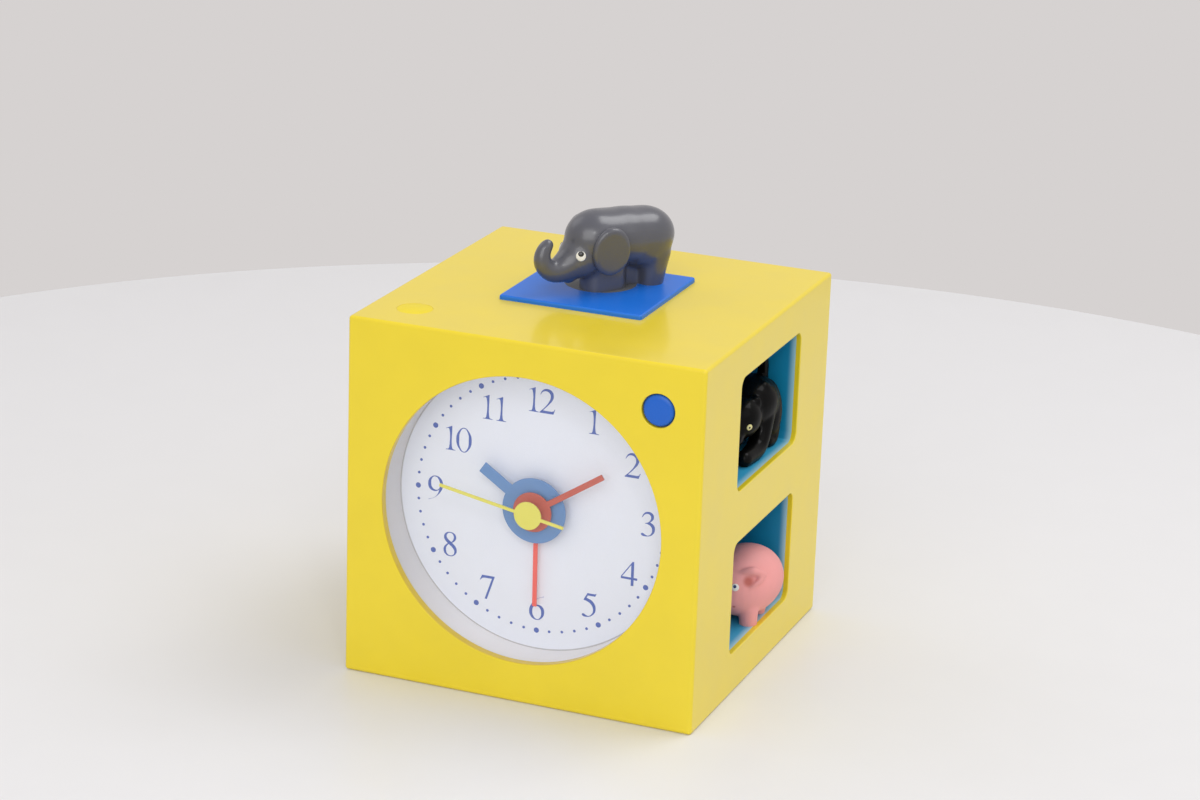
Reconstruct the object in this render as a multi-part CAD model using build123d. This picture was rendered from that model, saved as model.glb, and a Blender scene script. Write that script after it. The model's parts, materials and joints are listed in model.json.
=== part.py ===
from build123d import *
import os
from math import acos, cos, pi, radians, sin, tan

# Children's cube alarm clock, in millimetres. The origin is the middle of the base, +Z is up, the dial faces -Y
# and the two figure niches open towards +X. Depths are measured backwards from the front face of the case.

# Case
CASE = 125.0
WALL = 1.8
EDGE_R = 1.2
LIP_R = 0.35
COVER_T = 2.0
COVER_GAP = 0.2
POST = 9.0
POST_LENGTH = 16.0

# Fits shared by every pair that has to go together, how far a cutter overshoots, and how near counts as equal
RUN = 0.05
SEAT = 0.02
LOOSE = 0.15
CUT = 1.0
NEAR = 0.01

# Screws
SCREW_R = 1.1
SCREW_HEAD_R = 2.3
SCREW_HEAD_T = 1.4
SCREW_LENGTH = 7.0
SCREW_SLOT = 0.6
BOSS_R = 2.75

# Dial, lens and ring
DIAL_RISE = 1.0
RING_R = 50.4
COLLAR = 2.95
LENS_T = 1.0
RING_LAP = 1.0
RING_WALL = 1.6
DIAL_DEPTH = 16.5
DIAL_T = 1.0
EAR_T = 2.0
EAR_REACH = 5.5
EAR_ANGLES = (25.0, 155.0, 205.0, 335.0)

# Hands: disc radius, bar width, tip and tail radius, depth of the front face, clock angle at rest
HAND_T = 0.5
SECOND_DISC_R = 4.8
SECOND_BAR = 1.1
SECOND_TIP = 32.3
SECOND_TAIL = 12.9
SECOND_DEPTH = 6.7
SECOND_ANGLE = 280.0
MINUTE_DISC_R = 6.8
MINUTE_BAR = 2.0
MINUTE_TIP = 29.4
MINUTE_DEPTH = 10.6
MINUTE_ANGLE = 56.5
HOUR_DISC_R = 11.25
HOUR_BAR = 4.0
HOUR_TIP = 22.5
HOUR_DEPTH = 12.1
HOUR_ANGLE = 303.5
ALARM_DISC_R = 4.6
ALARM_BAR = 1.5
ALARM_TIP = 34.4
ALARM_DEPTH = 14.1
ALARM_ANGLE = 179.5

# Hand tubes, from the middle outwards
ARBOR_R = 0.6
TUBE_WALL = 0.65
BUSH_WALL = 1.2
NUT_FLATS = 10.5
NUT_T = 1.0

# Quartz movement
MOVEMENT = 56.0
MOVEMENT_T = 18.0
MOVEMENT_WALL = 1.5
GEAR_T = 1.2
LAYER_GAP = 0.55
PIVOT_R = 0.5
PIVOT_DEEP = 0.8
PRESSURE_ANGLE = 25.0
ADDENDUM = 0.85
DEDENDUM = 1.15
BACKLASH = 0.10
MOTION_CENTRES = 14.0
ALARM_CENTRES = 14.5
THIRD_CENTRES = 12.75
STEP_CENTRES = 13.0
ROTOR_CENTRES = 12.6
ROTOR_BEARING = -15.0
CANNON_TEETH = 12
MINUTE_WHEEL_TEETH = 36
MINUTE_PINION_TEETH = 10
HOUR_TEETH = 40
ALARM_TEETH = 42
ALARM_PINION_TEETH = 14
SECOND_PINION_TEETH = 10
THIRD_TEETH = 75
THIRD_PINION_TEETH = 10
CENTRE_TEETH = 80
SECOND_TEETH = 60
STEP_PINION_TEETH = 12
STEP_TEETH = 72
ROTOR_PINION_TEETH = 12
MAGNET_R = 3.0
MAGNET_T = 2.0
STATOR_GAP = 0.5
STATOR_T = 1.4
STATOR_MARGIN = 3.2
COIL_R = 3.2
COIL_LENGTH = 20.0
COIL_BUILD = 1.0
CORE = 2.6
CHIP_BOARD = (18.0, 10.0)
CHIP_BOARD_T = 1.0
CRYSTAL_R = 1.0
CRYSTAL_LENGTH = 6.0

# Setting stems and knobs
SET_ARBOR_R = 1.0
SET_ARBOR_OUT = 3.0
STEM_R = 1.8
KNOB_R = 7.5
KNOB_T = 8.0
KNOB_RIBS = 18
KNOB_RIB_R = 0.7
KNOB_SOCKET = 4.0
KNOB_GAP = 1.0
RECESS_DEEP = 11.0
RECESS_MARGIN = 3.5
RECESS_WALL = 1.6

# Push buttons
BUTTON_R = 5.3
BUTTON_HOLE_R = 5.7
BUTTON_FLANGE = 1.2
BUTTON_FLANGE_T = 1.2
BUTTON_STEM_R = 3.6
BUTTON_STEM = 2.0
BUTTON_EDGE_R = 0.8
DOME_TOP_R = 2.2
DOME_BASE_R = 4.6
DOME_H = 2.6
DOME_T = 0.8
SLEEVE_WALL = 1.4
SLEEVE_GAP = 0.15
SWITCH_BOARD_T = 1.2
SWITCH_SCREW_PITCH = 23.0
ALARM_BUTTON_INSET = 15.85
SNOOZE_INSET_X = 16.0
SNOOZE_INSET_Y = 17.2
SNOOZE_R = 5.9
SNOOZE_HOLE_R = 6.05

# Top plate and tag reader
PLATE = 51.0
PLATE_T = 1.6
PLATE_EDGE_R = 0.7
PLATE_CORNER_R = 1.05
PLATE_X = -1.0
PLATE_Y = 3.2
READER_R = 12.3
READER_X = -1.9
READER_Y = 7.4
PEG_R = 2.2
PEG_PITCH = 36.0
READER_BOARD = 46.0
READER_BOARD_T = 1.2
READER_CHIP = 7.0
CHIP_T = 1.6

# Figure niches
WINDOW_W = 59.6
WINDOW_H = 39.4
WINDOW_PITCH = 57.7
WINDOW_Y = 2.0
WINDOW_R = 3.5
TRAY_DEEP = 30.0
TRAY_T = 1.2
TRAY_FLANGE = 3.5

# Sound unit
SPEAKER_R = 20.0
SPEAKER_RIM = 2.5
SPEAKER_RIM_T = 1.2
SPEAKER_DEEP = 11.0
SPEAKER_SHELL = 0.8
CONE_BASE_R = 7.0
CONE_T = 0.6
CONE_CAP = 1.5
MAGNET_CUP_R = 9.5
MAGNET_CUP_T = 6.0
MAGNET_CUP_LIP = 1.0
CLAMP_ANGLES = (90.0, 210.0, 330.0)
GRILLE_R = 1.1
GRILLE_PITCH = 4.6
GRILLE_RINGS = 3
SPEAKER_CLEAR = 2.5
SOUND_BOARD = (54.0, 66.0)
SOUND_BOARD_T = 1.6
SOUND_BOARD_INSET = 4.0
SOUND_BOARD_Y = 6.0
STANDOFF = 5.0
SOUND_CHIP = 12.0
CAPACITOR_R = 4.0
CAPACITOR_LENGTH = 9.0

# Battery bay
CELL_R = 7.1
CELL_LENGTH = 49.2
CELL_NUB_R = 2.7
CELL_NUB = 1.3
CELL_EDGE_R = 0.6
CELL_COUNT = 2
CELL_PITCH = 15.2
BAY_SPARE = 5.6
BAY_DEEP = 15.5
BAY_WALL = 1.6
DOOR_LEDGE = 3.0
DOOR_SCREW_LEDGE = 9.0
DOOR_LIFT = 6.5
CONTACT_T = 0.4
CONTACT_W = 9.0
CONTACT_SPRING = 2.9

# Toy figures: where each stands and which way it looks, turned about Z from +X
ELEPHANT_AT = (0.5, 2.6)
ELEPHANT_TURN = 234.0
PANTHER_INSET = 12.1
PANTHER_Y = 12.0
PANTHER_TURN = -90.0
PIG_INSET = 9.1
PIG_Y = 10.4
PIG_TURN = -107.0

# Toy figures, each in its own frame with the nose along +X and the soles on Z = 0. A ball is given by its middle,
# its half length, its radius, how far it is tipped nose down and how far it is turned; a limb by its points and
# its radii. What stands off the middle plane is made on both sides.
ELEPHANT_BACK = ((-6.4, 0.0, 17.3), 11.4, 9.8, -3.0)
ELEPHANT_BACK_STRAIGHT = 18.4
ELEPHANT_CHEEKS = ((8.2, 0.0, 12.5), 8.5, 7.8, 40.0)
ELEPHANT_LIP = ((13.2, 0.0, 5.2), 2.8, 2.2, 10.0)
ELEPHANT_TRUNK_ROOT = (
    (9.5, 0.0, 12.0), (13.0, 0.0, 9.8), (16.2, 0.0, 8.4), (19.4, 0.0, 8.0), (22.0, 0.0, 9.2),
)
ELEPHANT_TRUNK_ROOT_R = (6.8, 5.6, 4.6, 3.9, 3.4)
ELEPHANT_TRUNK_TIP = (
    (22.0, 0.0, 9.2), (23.7, 0.0, 11.4), (23.9, 0.0, 13.9), (23.1, 0.0, 16.0), (21.9, 0.0, 17.3),
)
ELEPHANT_TRUNK_TIP_R = (3.2, 3.0, 2.7, 2.3, 2.0)
ELEPHANT_FORELEGS = (15.6, 11.2, 3.8, 12.0)
ELEPHANT_EAR = ((2.7, 9.3, 15.1), 2.6, 7.6, 6.0, 80.0)
ELEPHANT_HIND_LEG = ((-18.2, 1.9, -1.0), (-19.4, 3.2, 11.0))
ELEPHANT_HIND_LEG_R = (3.6, 5.8)
ELEPHANT_WEB = (-17.0, -5.0, 3.2, 12.0)
PANTHER_BACK = ((-6.0, 0.0, 16.8), 11.0, 9.2)
PANTHER_TAIL = ((-15.0, 0.0, 17.0), (-15.6, 0.2, 22.5), (-14.8, 0.6, 28.0), (-12.8, 1.0, 32.0))
PANTHER_TAIL_R = (2.0, 1.9, 1.7, 1.5)
PANTHER_SHOULDER = ((-6.2, 4.0, 17.4), 8.2, 4.4, -70.0)
PANTHER_FORELEG = ((-6.5, 4.8, 15.0), (0.3, 5.0, 3.6), (13.0, 4.8, 2.4))
PANTHER_FORELEG_R = (4.0, 3.5, 2.9)
PANTHER_HAUNCH = ((-11.6, 3.8, 12.6), 11.4, 5.2, 96.0)
PANTHER_HIND_LEG = ((-13.6, 4.9, 6.0), (-12.6, 5.2, 2.2), (-9.0, 5.2, 2.0))
PANTHER_HIND_LEG_R = (3.2, 2.5, 2.2)
PANTHER_HEAD = ((5.8, 0.3, 14.6), 8.4, 7.3, 15.0)
PANTHER_MUZZLE = ((12.6, 0.3, 9.2), 4.4, 3.8, 10.0)
PANTHER_EAR = ((3.2, 4.2, 19.4), 1.9, 2.5, 8.0, 14.0)
PIG_BODY = ((0.0, 0.0, 12.7), 16.4, 12.2)
PIG_SNOUT = ((12.5, 0.0, 10.8), (17.4, 0.0, 10.2))
PIG_SNOUT_R = (4.6, 4.0)
PIG_SNOUT_END = 18.4
PIG_TAIL = ((-14.5, -0.8, 14.2), (-17.0, -2.4, 14.8))
PIG_TAIL_R = (1.4, 1.0)
PIG_EAR = ((7.6, 8.6, 17.7), 3.6, 2.6, -6.0, -25.0)
PIG_FORELEG = ((5.8, 6.8, -1.0), (5.8, 6.8, 5.0))
PIG_HIND_LEG = ((-4.8, 2.5, -1.0), (-5.4, 3.0, 5.0))
PIG_FORELEG_R = (3.0, 3.4)
PIG_HIND_LEG_R = (2.4, 3.2)
KNUCKLE = 0.96

HALF = CASE / 2
FRONT_Y = -HALF
BACK_Y = HALF
INNER = HALF - WALL
DIAL_Z = HALF + DIAL_RISE
OPENING_R = RING_R - RING_LAP
RING_OUT = RING_R + RING_WALL
EAR_PITCH_R = RING_OUT + EAR_REACH
COVER_Y = BACK_Y - COVER_T
MOVEMENT_DEPTH = DIAL_DEPTH + DIAL_T
LAYER_0 = MOVEMENT_DEPTH + MOVEMENT_WALL + LAYER_GAP
LID_DEPTH = MOVEMENT_DEPTH + MOVEMENT_T - MOVEMENT_WALL
CANNON_R = ARBOR_R + RUN + TUBE_WALL
HOUR_TUBE_R = CANNON_R + RUN + TUBE_WALL
ALARM_TUBE_R = HOUR_TUBE_R + RUN + TUBE_WALL
BUSH_BORE_R = ALARM_TUBE_R + RUN
BUSH_R = BUSH_BORE_R + BUSH_WALL
BUTTON_BACK = WALL + BUTTON_FLANGE_T + BUTTON_STEM
SWITCH_DEPTH = BUTTON_BACK + DOME_H
FLANGE_R = BUTTON_HOLE_R + BUTTON_FLANGE
SLEEVE_R = FLANGE_R + SLEEVE_GAP + SLEEVE_WALL
ALARM_BUTTON_X = HALF - ALARM_BUTTON_INSET
ALARM_BUTTON_Z = CASE - ALARM_BUTTON_INSET
SNOOZE_X = SNOOZE_INSET_X - HALF
SNOOZE_Y = SNOOZE_INSET_Y - HALF
TIME_X = -MOTION_CENTRES
ALARM_X = ALARM_CENTRES
RECESS_HALF_H = KNOB_R + RECESS_MARGIN
RECESS_FLOOR_Y = BACK_Y - RECESS_DEEP
SPEAKER_Z = DIAL_Z + RECESS_HALF_H + RECESS_WALL + SPEAKER_CLEAR + SPEAKER_R
BAY_L = CELL_LENGTH + CELL_NUB + BAY_SPARE
BAY_H = CELL_COUNT * CELL_PITCH
BAY_Z = WALL + DOOR_LIFT + DOOR_LEDGE + BAY_H / 2
DOOR_X0 = -BAY_L / 2 - DOOR_LEDGE
DOOR_X1 = BAY_L / 2 + DOOR_SCREW_LEDGE
DOOR_Z0 = BAY_Z - BAY_H / 2 - DOOR_LEDGE
DOOR_Z1 = BAY_Z + BAY_H / 2 + DOOR_LEDGE
DOOR_SCREW_X = BAY_L / 2 + DOOR_SCREW_LEDGE / 2
BOARD_X = -INNER + STANDOFF
WINDOW_ZS = {"upper": DIAL_Z + WINDOW_PITCH / 2, "lower": DIAL_Z - WINDOW_PITCH / 2}


def depth_y(depth):
    """Y of a plane that lies this far behind the front face."""
    return FRONT_Y + depth


def block(x0, x1, y0, y1, z0, z1):
    """Box between six limits."""
    middle = Pos((x0 + x1) / 2, (y0 + y1) / 2, (z0 + z1) / 2)
    return middle * Box(x1 - x0, y1 - y0, z1 - z0)


def rod_x(radius, x0, x1, y, z):
    """Round bar along X."""
    return Pos((x0 + x1) / 2, y, z) * Rot(Y=90) * Cylinder(radius, x1 - x0)


def rod_y(radius, y0, y1, x=0.0, z=0.0):
    """Round bar along Y."""
    return Pos(x, (y0 + y1) / 2, z) * Rot(X=90) * Cylinder(radius, y1 - y0)


def rod_z(radius, z0, z1, x=0.0, y=0.0):
    """Round bar along Z."""
    return Pos(x, y, (z0 + z1) / 2) * Cylinder(radius, z1 - z0)


def on_dial(radius, angle):
    """X and Z of a point on the dial, from its radius and its angle anticlockwise from +X."""
    return radius * cos(radians(angle)), DIAL_Z + radius * sin(radians(angle))


def layer(index):
    """Front and back depth of one layer of gears in the movement."""
    front = LAYER_0 + index * (GEAR_T + LAYER_GAP)
    return front, front + GEAR_T


def face_sketch(y, x=0.0, z=0.0):
    """Plane facing the front, with its own X along +X and its own Y along +Z."""
    return Plane(origin=(x, y, z), x_dir=(1, 0, 0), z_dir=(0, -1, 0))


def prism_y(sketch, y0, y1, x=0.0, z=0.0):
    """A flat outline drawn as seen from the front, made solid between two depths."""
    return extrude(face_sketch(y1, x, z) * sketch, y1 - y0)


def screw(length=SCREW_LENGTH):
    """Pan-head screw along -Z, with the underside of its head at the origin."""
    head = rod_z(SCREW_HEAD_R, 0, SCREW_HEAD_T)
    head = fillet(head.edges().group_by(Axis.Z)[-1], SCREW_HEAD_T / 2)
    wide = SCREW_SLOT / 2
    slot = block(-SCREW_HEAD_R, SCREW_HEAD_R, -wide, wide, SCREW_HEAD_T / 2, SCREW_HEAD_T * 2)
    return head + rod_z(SCREW_R, -length, 0) - slot


def rounded_window(width, height, radius, x0, x1, y, z):
    """Round-cornered bar through the right-hand wall."""
    plane = Plane(origin=(x0, y, z), x_dir=(0, 1, 0), z_dir=(1, 0, 0))
    return extrude(plane * RectangleRounded(width, height, radius), x1 - x0)


def gear(teeth, pair_module, depths, x, z, tooth_at, bore):
    """Spur gear about Y with involute flanks, one tooth centred on the bearing tooth_at."""
    pitch_r = pair_module * teeth / 2
    base_r = pitch_r * cos(radians(PRESSURE_ANGLE))
    tip_r = pitch_r + ADDENDUM * pair_module
    root_r = pitch_r - DEDENDUM * pair_module
    start_r = max(base_r, root_r)
    pressure = radians(PRESSURE_ANGLE)
    half_pitch = pi / (2 * teeth) * (1 - BACKLASH) + tan(pressure) - pressure

    def flank(radius):
        """Half the angle that a tooth fills at this radius."""
        roll = acos(min(1.0, base_r / radius))
        return half_pitch - (tan(roll) - roll)

    def spot(radius, angle):
        """Point of the outline."""
        return radius * cos(angle), radius * sin(angle)

    edges = []
    for index in range(teeth):
        middle = radians(tooth_at) + 2 * pi * index / teeth
        next_root = middle + 2 * pi / teeth - flank(start_r)
        radii = (start_r, (start_r + tip_r) / 2, tip_r)
        left = [spot(r, middle - flank(r)) for r in radii]
        right = [spot(r, middle + flank(r)) for r in radii]
        low_left = spot(root_r, middle - flank(start_r))
        low_right = spot(root_r, middle + flank(start_r))
        if start_r > root_r:
            edges += [Line(low_left, left[0]), Line(right[0], low_right)]
        edges.append(ThreePointArc(*left))
        edges.append(ThreePointArc(left[2], spot(tip_r, middle), right[2]))
        edges.append(ThreePointArc(right[2], right[1], right[0]))
        edges.append(Line(low_right, spot(root_r, next_root)))
    outline = make_face(Wire(edges)) - Circle(bore)
    return prism_y(outline, depth_y(depths[0]), depth_y(depths[1]), x, z)


def gear_pair(centres, first_teeth, second_teeth):
    """Module that makes two gears meet at this distance between their axes."""
    return 2 * centres / (first_teeth + second_teeth)


def mate_tooth(bearing, teeth):
    """Bearing of a tooth on the mate, whose gap faces the tooth at this bearing."""
    return bearing + 180.0 + 180.0 / teeth


def case_shell():
    """Yellow case: five walls, open at the back, with its posts, bosses, sleeves and openings."""
    shell = Pos(0, 0, HALF) * Box(CASE, CASE, CASE)
    shell = fillet(shell.edges(), EDGE_R)
    shell -= block(-INNER, INNER, depth_y(WALL), BACK_Y + CASE, WALL, CASE - WALL)
    shell += rod_y(RING_OUT, depth_y(WALL), depth_y(COLLAR), 0, DIAL_Z)
    shell -= rod_y(OPENING_R, FRONT_Y - CUT, depth_y(COLLAR + CUT), 0, DIAL_Z)
    shell -= rod_y(BUTTON_HOLE_R, FRONT_Y - CUT, depth_y(WALL + CUT), ALARM_BUTTON_X, ALARM_BUTTON_Z)
    shell -= rod_z(SNOOZE_HOLE_R, CASE - WALL - CUT, CASE + CUT, SNOOZE_X, SNOOZE_Y)
    for middle_z in WINDOW_ZS.values():
        shell -= rounded_window(WINDOW_W, WINDOW_H, WINDOW_R, INNER - CUT, HALF + CUT, WINDOW_Y, middle_z)
    for x, y in peg_places():
        shell -= rod_z(PEG_R + LOOSE, CASE - WALL - CUT, CASE + CUT, x, y)
    shell = fillet(opening_edges(shell), LIP_R)
    for sx in (-1, 1):
        for z0 in (WALL, CASE - WALL - POST):
            x0 = -INNER if sx < 0 else INNER - POST
            shell += block(x0, x0 + POST, COVER_Y - POST_LENGTH, COVER_Y, z0, z0 + POST)
    for x, z in cover_screw_places():
        shell -= rod_y(SCREW_R + RUN, COVER_Y - POST_LENGTH / 2, COVER_Y + CUT, x, z)
    for angle in EAR_ANGLES:
        x, z = on_dial(EAR_PITCH_R, angle)
        shell += rod_y(BOSS_R, depth_y(WALL), depth_y(DIAL_DEPTH - EAR_T), x, z)
        shell -= rod_y(SCREW_R + RUN, depth_y(2 * WALL), depth_y(DIAL_DEPTH), x, z)
    for y, z in board_screw_places():
        shell += rod_x(BOSS_R, -INNER, BOARD_X, y, z)
        shell -= rod_x(SCREW_R + RUN, -INNER, BOARD_X + CUT, y, z)
    for place in (alarm_button_frame(), snooze_frame()):
        shell += place * button_sleeve()
    return shell


def opening_edges(shell):
    """Outer rims of the dial opening, the front button's hole and the two windows."""
    rims = []
    for edge in shell.edges():
        middle = edge.center(CenterOf.BOUNDING_BOX)
        if abs(middle.Y - FRONT_Y) < NEAR and edge.geom_type == GeomType.CIRCLE:
            rims.append(edge)
        in_window = any(abs(middle.Z - z) < WINDOW_H / 2 + NEAR for z in WINDOW_ZS.values())
        if abs(middle.X - HALF) < NEAR and in_window and abs(middle.Y - WINDOW_Y) < WINDOW_W / 2 + NEAR:
            rims.append(edge)
    return rims


def cover_screw_places():
    """X and Z of the four rear cover screws."""
    side = INNER - POST / 2
    return [(sx * side, z) for sx in (-1, 1) for z in (WALL + POST / 2, CASE - WALL - POST / 2)]


def board_screw_places():
    """Y and Z of the four sound board screws on the left wall."""
    dy = SOUND_BOARD[0] / 2 - SOUND_BOARD_INSET
    dz = SOUND_BOARD[1] / 2 - SOUND_BOARD_INSET
    return [(SOUND_BOARD_Y + sy * dy, HALF + sz * dz) for sy in (-1, 1) for sz in (-1, 1)]


def peg_places():
    """X and Y of the four pegs of the top plate."""
    half = PEG_PITCH / 2
    return [(PLATE_X + sx * half, PLATE_Y + sy * half) for sx in (-1, 1) for sy in (-1, 1)]


def alarm_button_frame():
    """Frame of the front button: local -Z goes into the case, local Z = 0 on its front face."""
    return Plane(origin=(ALARM_BUTTON_X, FRONT_Y, ALARM_BUTTON_Z), x_dir=(1, 0, 1), z_dir=(0, -1, 0)).location


def snooze_frame():
    """Frame of the top button: local -Z goes into the case, local Z = 0 on its top face."""
    return Plane(origin=(SNOOZE_X, SNOOZE_Y, CASE), x_dir=(1, -1, 0), z_dir=(0, 0, 1)).location


def switch_screw_places():
    """Local Y of the two screws of a switch board."""
    return (-SWITCH_SCREW_PITCH / 2, SWITCH_SCREW_PITCH / 2)


def button_sleeve():
    """Guide tube of a push button with its two screw bosses, below a wall at local Z = 0."""
    sleeve = rod_z(SLEEVE_R, -SWITCH_DEPTH, -WALL)
    for y in switch_screw_places():
        sleeve += rod_z(BOSS_R, -SWITCH_DEPTH, -WALL, 0, y)
        sleeve -= rod_z(SCREW_R + RUN, -SWITCH_DEPTH - CUT, -WALL - CUT, 0, y)
    return sleeve - rod_z(FLANGE_R + SLEEVE_GAP, -SWITCH_DEPTH - CUT, -WALL)


def push_button(radius):
    """Button cap with its retaining flange and stem, its face at local Z = 0."""
    cap = rod_z(radius, -WALL - BUTTON_FLANGE_T, 0)
    cap = fillet(cap.edges().group_by(Axis.Z)[-1], BUTTON_EDGE_R)
    flange = rod_z(FLANGE_R, -WALL - BUTTON_FLANGE_T, -WALL - RUN)
    return cap + flange + rod_z(BUTTON_STEM_R, -BUTTON_BACK, -WALL)


def button_dome():
    """Rubber dome that pushes a button back, hollow underneath."""
    outer = Cone(DOME_BASE_R, DOME_TOP_R, DOME_H)
    hollow = Cone(DOME_BASE_R - DOME_T, DOME_TOP_R - DOME_T, DOME_H - DOME_T)
    dome = outer - Pos(0, 0, -DOME_T / 2) * hollow
    return Pos(0, 0, -BUTTON_BACK - DOME_H / 2) * dome


def switch_board():
    """Small contact board behind a button."""
    board = extrude(SlotCenterToCenter(SWITCH_SCREW_PITCH, 2 * BOSS_R), -SWITCH_BOARD_T)
    board = Rot(Z=90) * board + rod_z(SLEEVE_R, -SWITCH_BOARD_T, 0)
    for y in switch_screw_places():
        board -= rod_z(SCREW_R + LOOSE, -SWITCH_BOARD_T - CUT, 1, 0, y)
    return Pos(0, 0, -SWITCH_DEPTH) * board


def switch_screws():
    """Screws of both switch boards."""
    solids = []
    for frame in (alarm_button_frame(), snooze_frame()):
        for y in switch_screw_places():
            under = Pos(0, y, -SWITCH_DEPTH - SWITCH_BOARD_T)
            turned = under * Rot(X=180) * screw(BUTTON_STEM + SWITCH_BOARD_T)
            solids.append(frame * turned)
    return Compound(solids)


def lens():
    """Clear disc trapped between the collar of the opening and the dial ring."""
    return rod_y(RING_OUT, depth_y(COLLAR), depth_y(COLLAR + LENS_T), 0, DIAL_Z)


def ears():
    """Outline of the four screw ears, as seen from the front, about the dial's middle."""
    outline = Sketch()
    for angle in EAR_ANGLES:
        bar = Pos((RING_R + EAR_PITCH_R) / 2, 0) * Rectangle(EAR_PITCH_R - RING_R, 2 * BOSS_R)
        tip = Pos(EAR_PITCH_R, 0) * Circle(BOSS_R)
        outline += Rot(Z=angle) * (bar + tip)
    for angle in EAR_ANGLES:
        outline -= Rot(Z=angle) * Pos(EAR_PITCH_R, 0) * Circle(SCREW_R + LOOSE)
    return outline


def dial_ring():
    """White ring that stands between the lens and the dial, with four screw ears."""
    wall = Circle(RING_OUT) - Circle(RING_R)
    ring = prism_y(wall, depth_y(COLLAR + LENS_T), depth_y(DIAL_DEPTH), 0, DIAL_Z)
    feet = prism_y(ears() - Circle(RING_R), depth_y(DIAL_DEPTH - EAR_T), depth_y(DIAL_DEPTH), 0, DIAL_Z)
    return ring + feet


def dial():
    """White dial plate with the same ears and a hole for the bush."""
    outline = Circle(RING_OUT) + ears() - Circle(BUSH_R + LOOSE)
    return prism_y(outline, depth_y(DIAL_DEPTH), depth_y(MOVEMENT_DEPTH), 0, DIAL_Z)


def dial_screws():
    """Four screws through the ears into the case."""
    solids = []
    for angle in EAR_ANGLES:
        x, z = on_dial(EAR_PITCH_R, angle)
        solids.append(Pos(x, depth_y(MOVEMENT_DEPTH), z) * Rot(X=-90) * screw())
    return Compound(solids)


def hand(disc_r, bar, tip, tail, front, angle, bore):
    """Flat hand: a disc with a square-ended bar, pointing at its clock angle."""
    outline = Circle(disc_r) + Pos(0, (tip - tail) / 2) * Rectangle(bar, tip + tail) - Circle(bore)
    turned = Rot(Z=-angle) * outline
    return prism_y(turned, depth_y(front), depth_y(front + HAND_T), 0, DIAL_Z)


def second_hand():
    """Yellow second hand with a closed hub that caps the arbor."""
    blade = hand(SECOND_DISC_R, SECOND_BAR, SECOND_TIP, SECOND_TAIL, SECOND_DEPTH, SECOND_ANGLE, ARBOR_R / 2)
    plug = rod_y(ARBOR_R, depth_y(SECOND_DEPTH), depth_y(SECOND_DEPTH + HAND_T), 0, DIAL_Z)
    hub_back = depth_y(MINUTE_DEPTH - 2 * HAND_T)
    hub = rod_y(2 * ARBOR_R, depth_y(SECOND_DEPTH + HAND_T), hub_back, 0, DIAL_Z)
    bore = rod_y(ARBOR_R + SEAT, depth_y(SECOND_DEPTH + 2 * HAND_T), hub_back + CUT, 0, DIAL_Z)
    return blade + plug + hub - bore


def tube(outer, inner, front, back):
    """Tube on the dial's axis between two depths."""
    middle = rod_y(outer, depth_y(front), depth_y(back), 0, DIAL_Z)
    return middle - rod_y(inner, depth_y(front - CUT), depth_y(back + CUT), 0, DIAL_Z)


def movement_front():
    """Front tray of the movement with the threaded bush and the arbor bearings."""
    half = MOVEMENT / 2
    front = depth_y(MOVEMENT_DEPTH)
    back = depth_y(LID_DEPTH)
    tray = block(-half, half, front, back, DIAL_Z - half, DIAL_Z + half)
    tray = fillet(tray.edges().filter_by(Axis.Y), MOVEMENT_WALL)
    inner = half - MOVEMENT_WALL
    tray -= block(-inner, inner, front + MOVEMENT_WALL, back + CUT, DIAL_Z - inner, DIAL_Z + inner)
    bush_front = DIAL_DEPTH - NUT_T - SEAT
    tray += rod_y(BUSH_R, depth_y(bush_front), front + MOVEMENT_WALL, 0, DIAL_Z)
    tray -= rod_y(BUSH_BORE_R, depth_y(bush_front - CUT), front + MOVEMENT_WALL + CUT, 0, DIAL_Z)
    for x, z, radius in arbor_places():
        bearing = front + MOVEMENT_WALL - PIVOT_DEEP
        tray -= rod_y(radius + RUN, bearing, back, x, z)
    return tray


def arbor_places():
    """X, Z and radius of every arbor that runs beside the middle of the movement."""
    rotor_x, rotor_z = rotor_place()
    return [
        (TIME_X, DIAL_Z, SET_ARBOR_R),
        (ALARM_X, DIAL_Z, SET_ARBOR_R),
        (0.0, DIAL_Z + THIRD_CENTRES, PIVOT_R),
        (0.0, DIAL_Z - STEP_CENTRES, PIVOT_R),
        (rotor_x, rotor_z, PIVOT_R),
    ]


def rotor_place():
    """X and Z of the stepping rotor."""
    bearing = radians(ROTOR_BEARING)
    return ROTOR_CENTRES * cos(bearing), DIAL_Z - STEP_CENTRES + ROTOR_CENTRES * sin(bearing)


def movement_back():
    """Rear lid of the movement, with the rear bearings and the two holes of the setting arbors."""
    half = MOVEMENT / 2
    front = depth_y(LID_DEPTH)
    back = depth_y(LID_DEPTH + MOVEMENT_WALL)
    lid = block(-half, half, front, back, DIAL_Z - half, DIAL_Z + half)
    lid = fillet(lid.edges().filter_by(Axis.Y), MOVEMENT_WALL)
    lid -= rod_y(ARBOR_R + RUN, front - CUT, front + PIVOT_DEEP, 0, DIAL_Z)
    for x, z, radius in arbor_places():
        deep = back + CUT if radius == SET_ARBOR_R else front + PIVOT_DEEP
        lid -= rod_y(radius + RUN, front - CUT, deep, x, z)
    return lid


def movement_nut():
    """Hexagonal nut that clamps the dial to the movement."""
    outline = RegularPolygon(NUT_FLATS / 2, 6, major_radius=False) - Circle(BUSH_R + SEAT)
    return prism_y(outline, depth_y(DIAL_DEPTH - NUT_T), depth_y(DIAL_DEPTH), 0, DIAL_Z)


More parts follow.
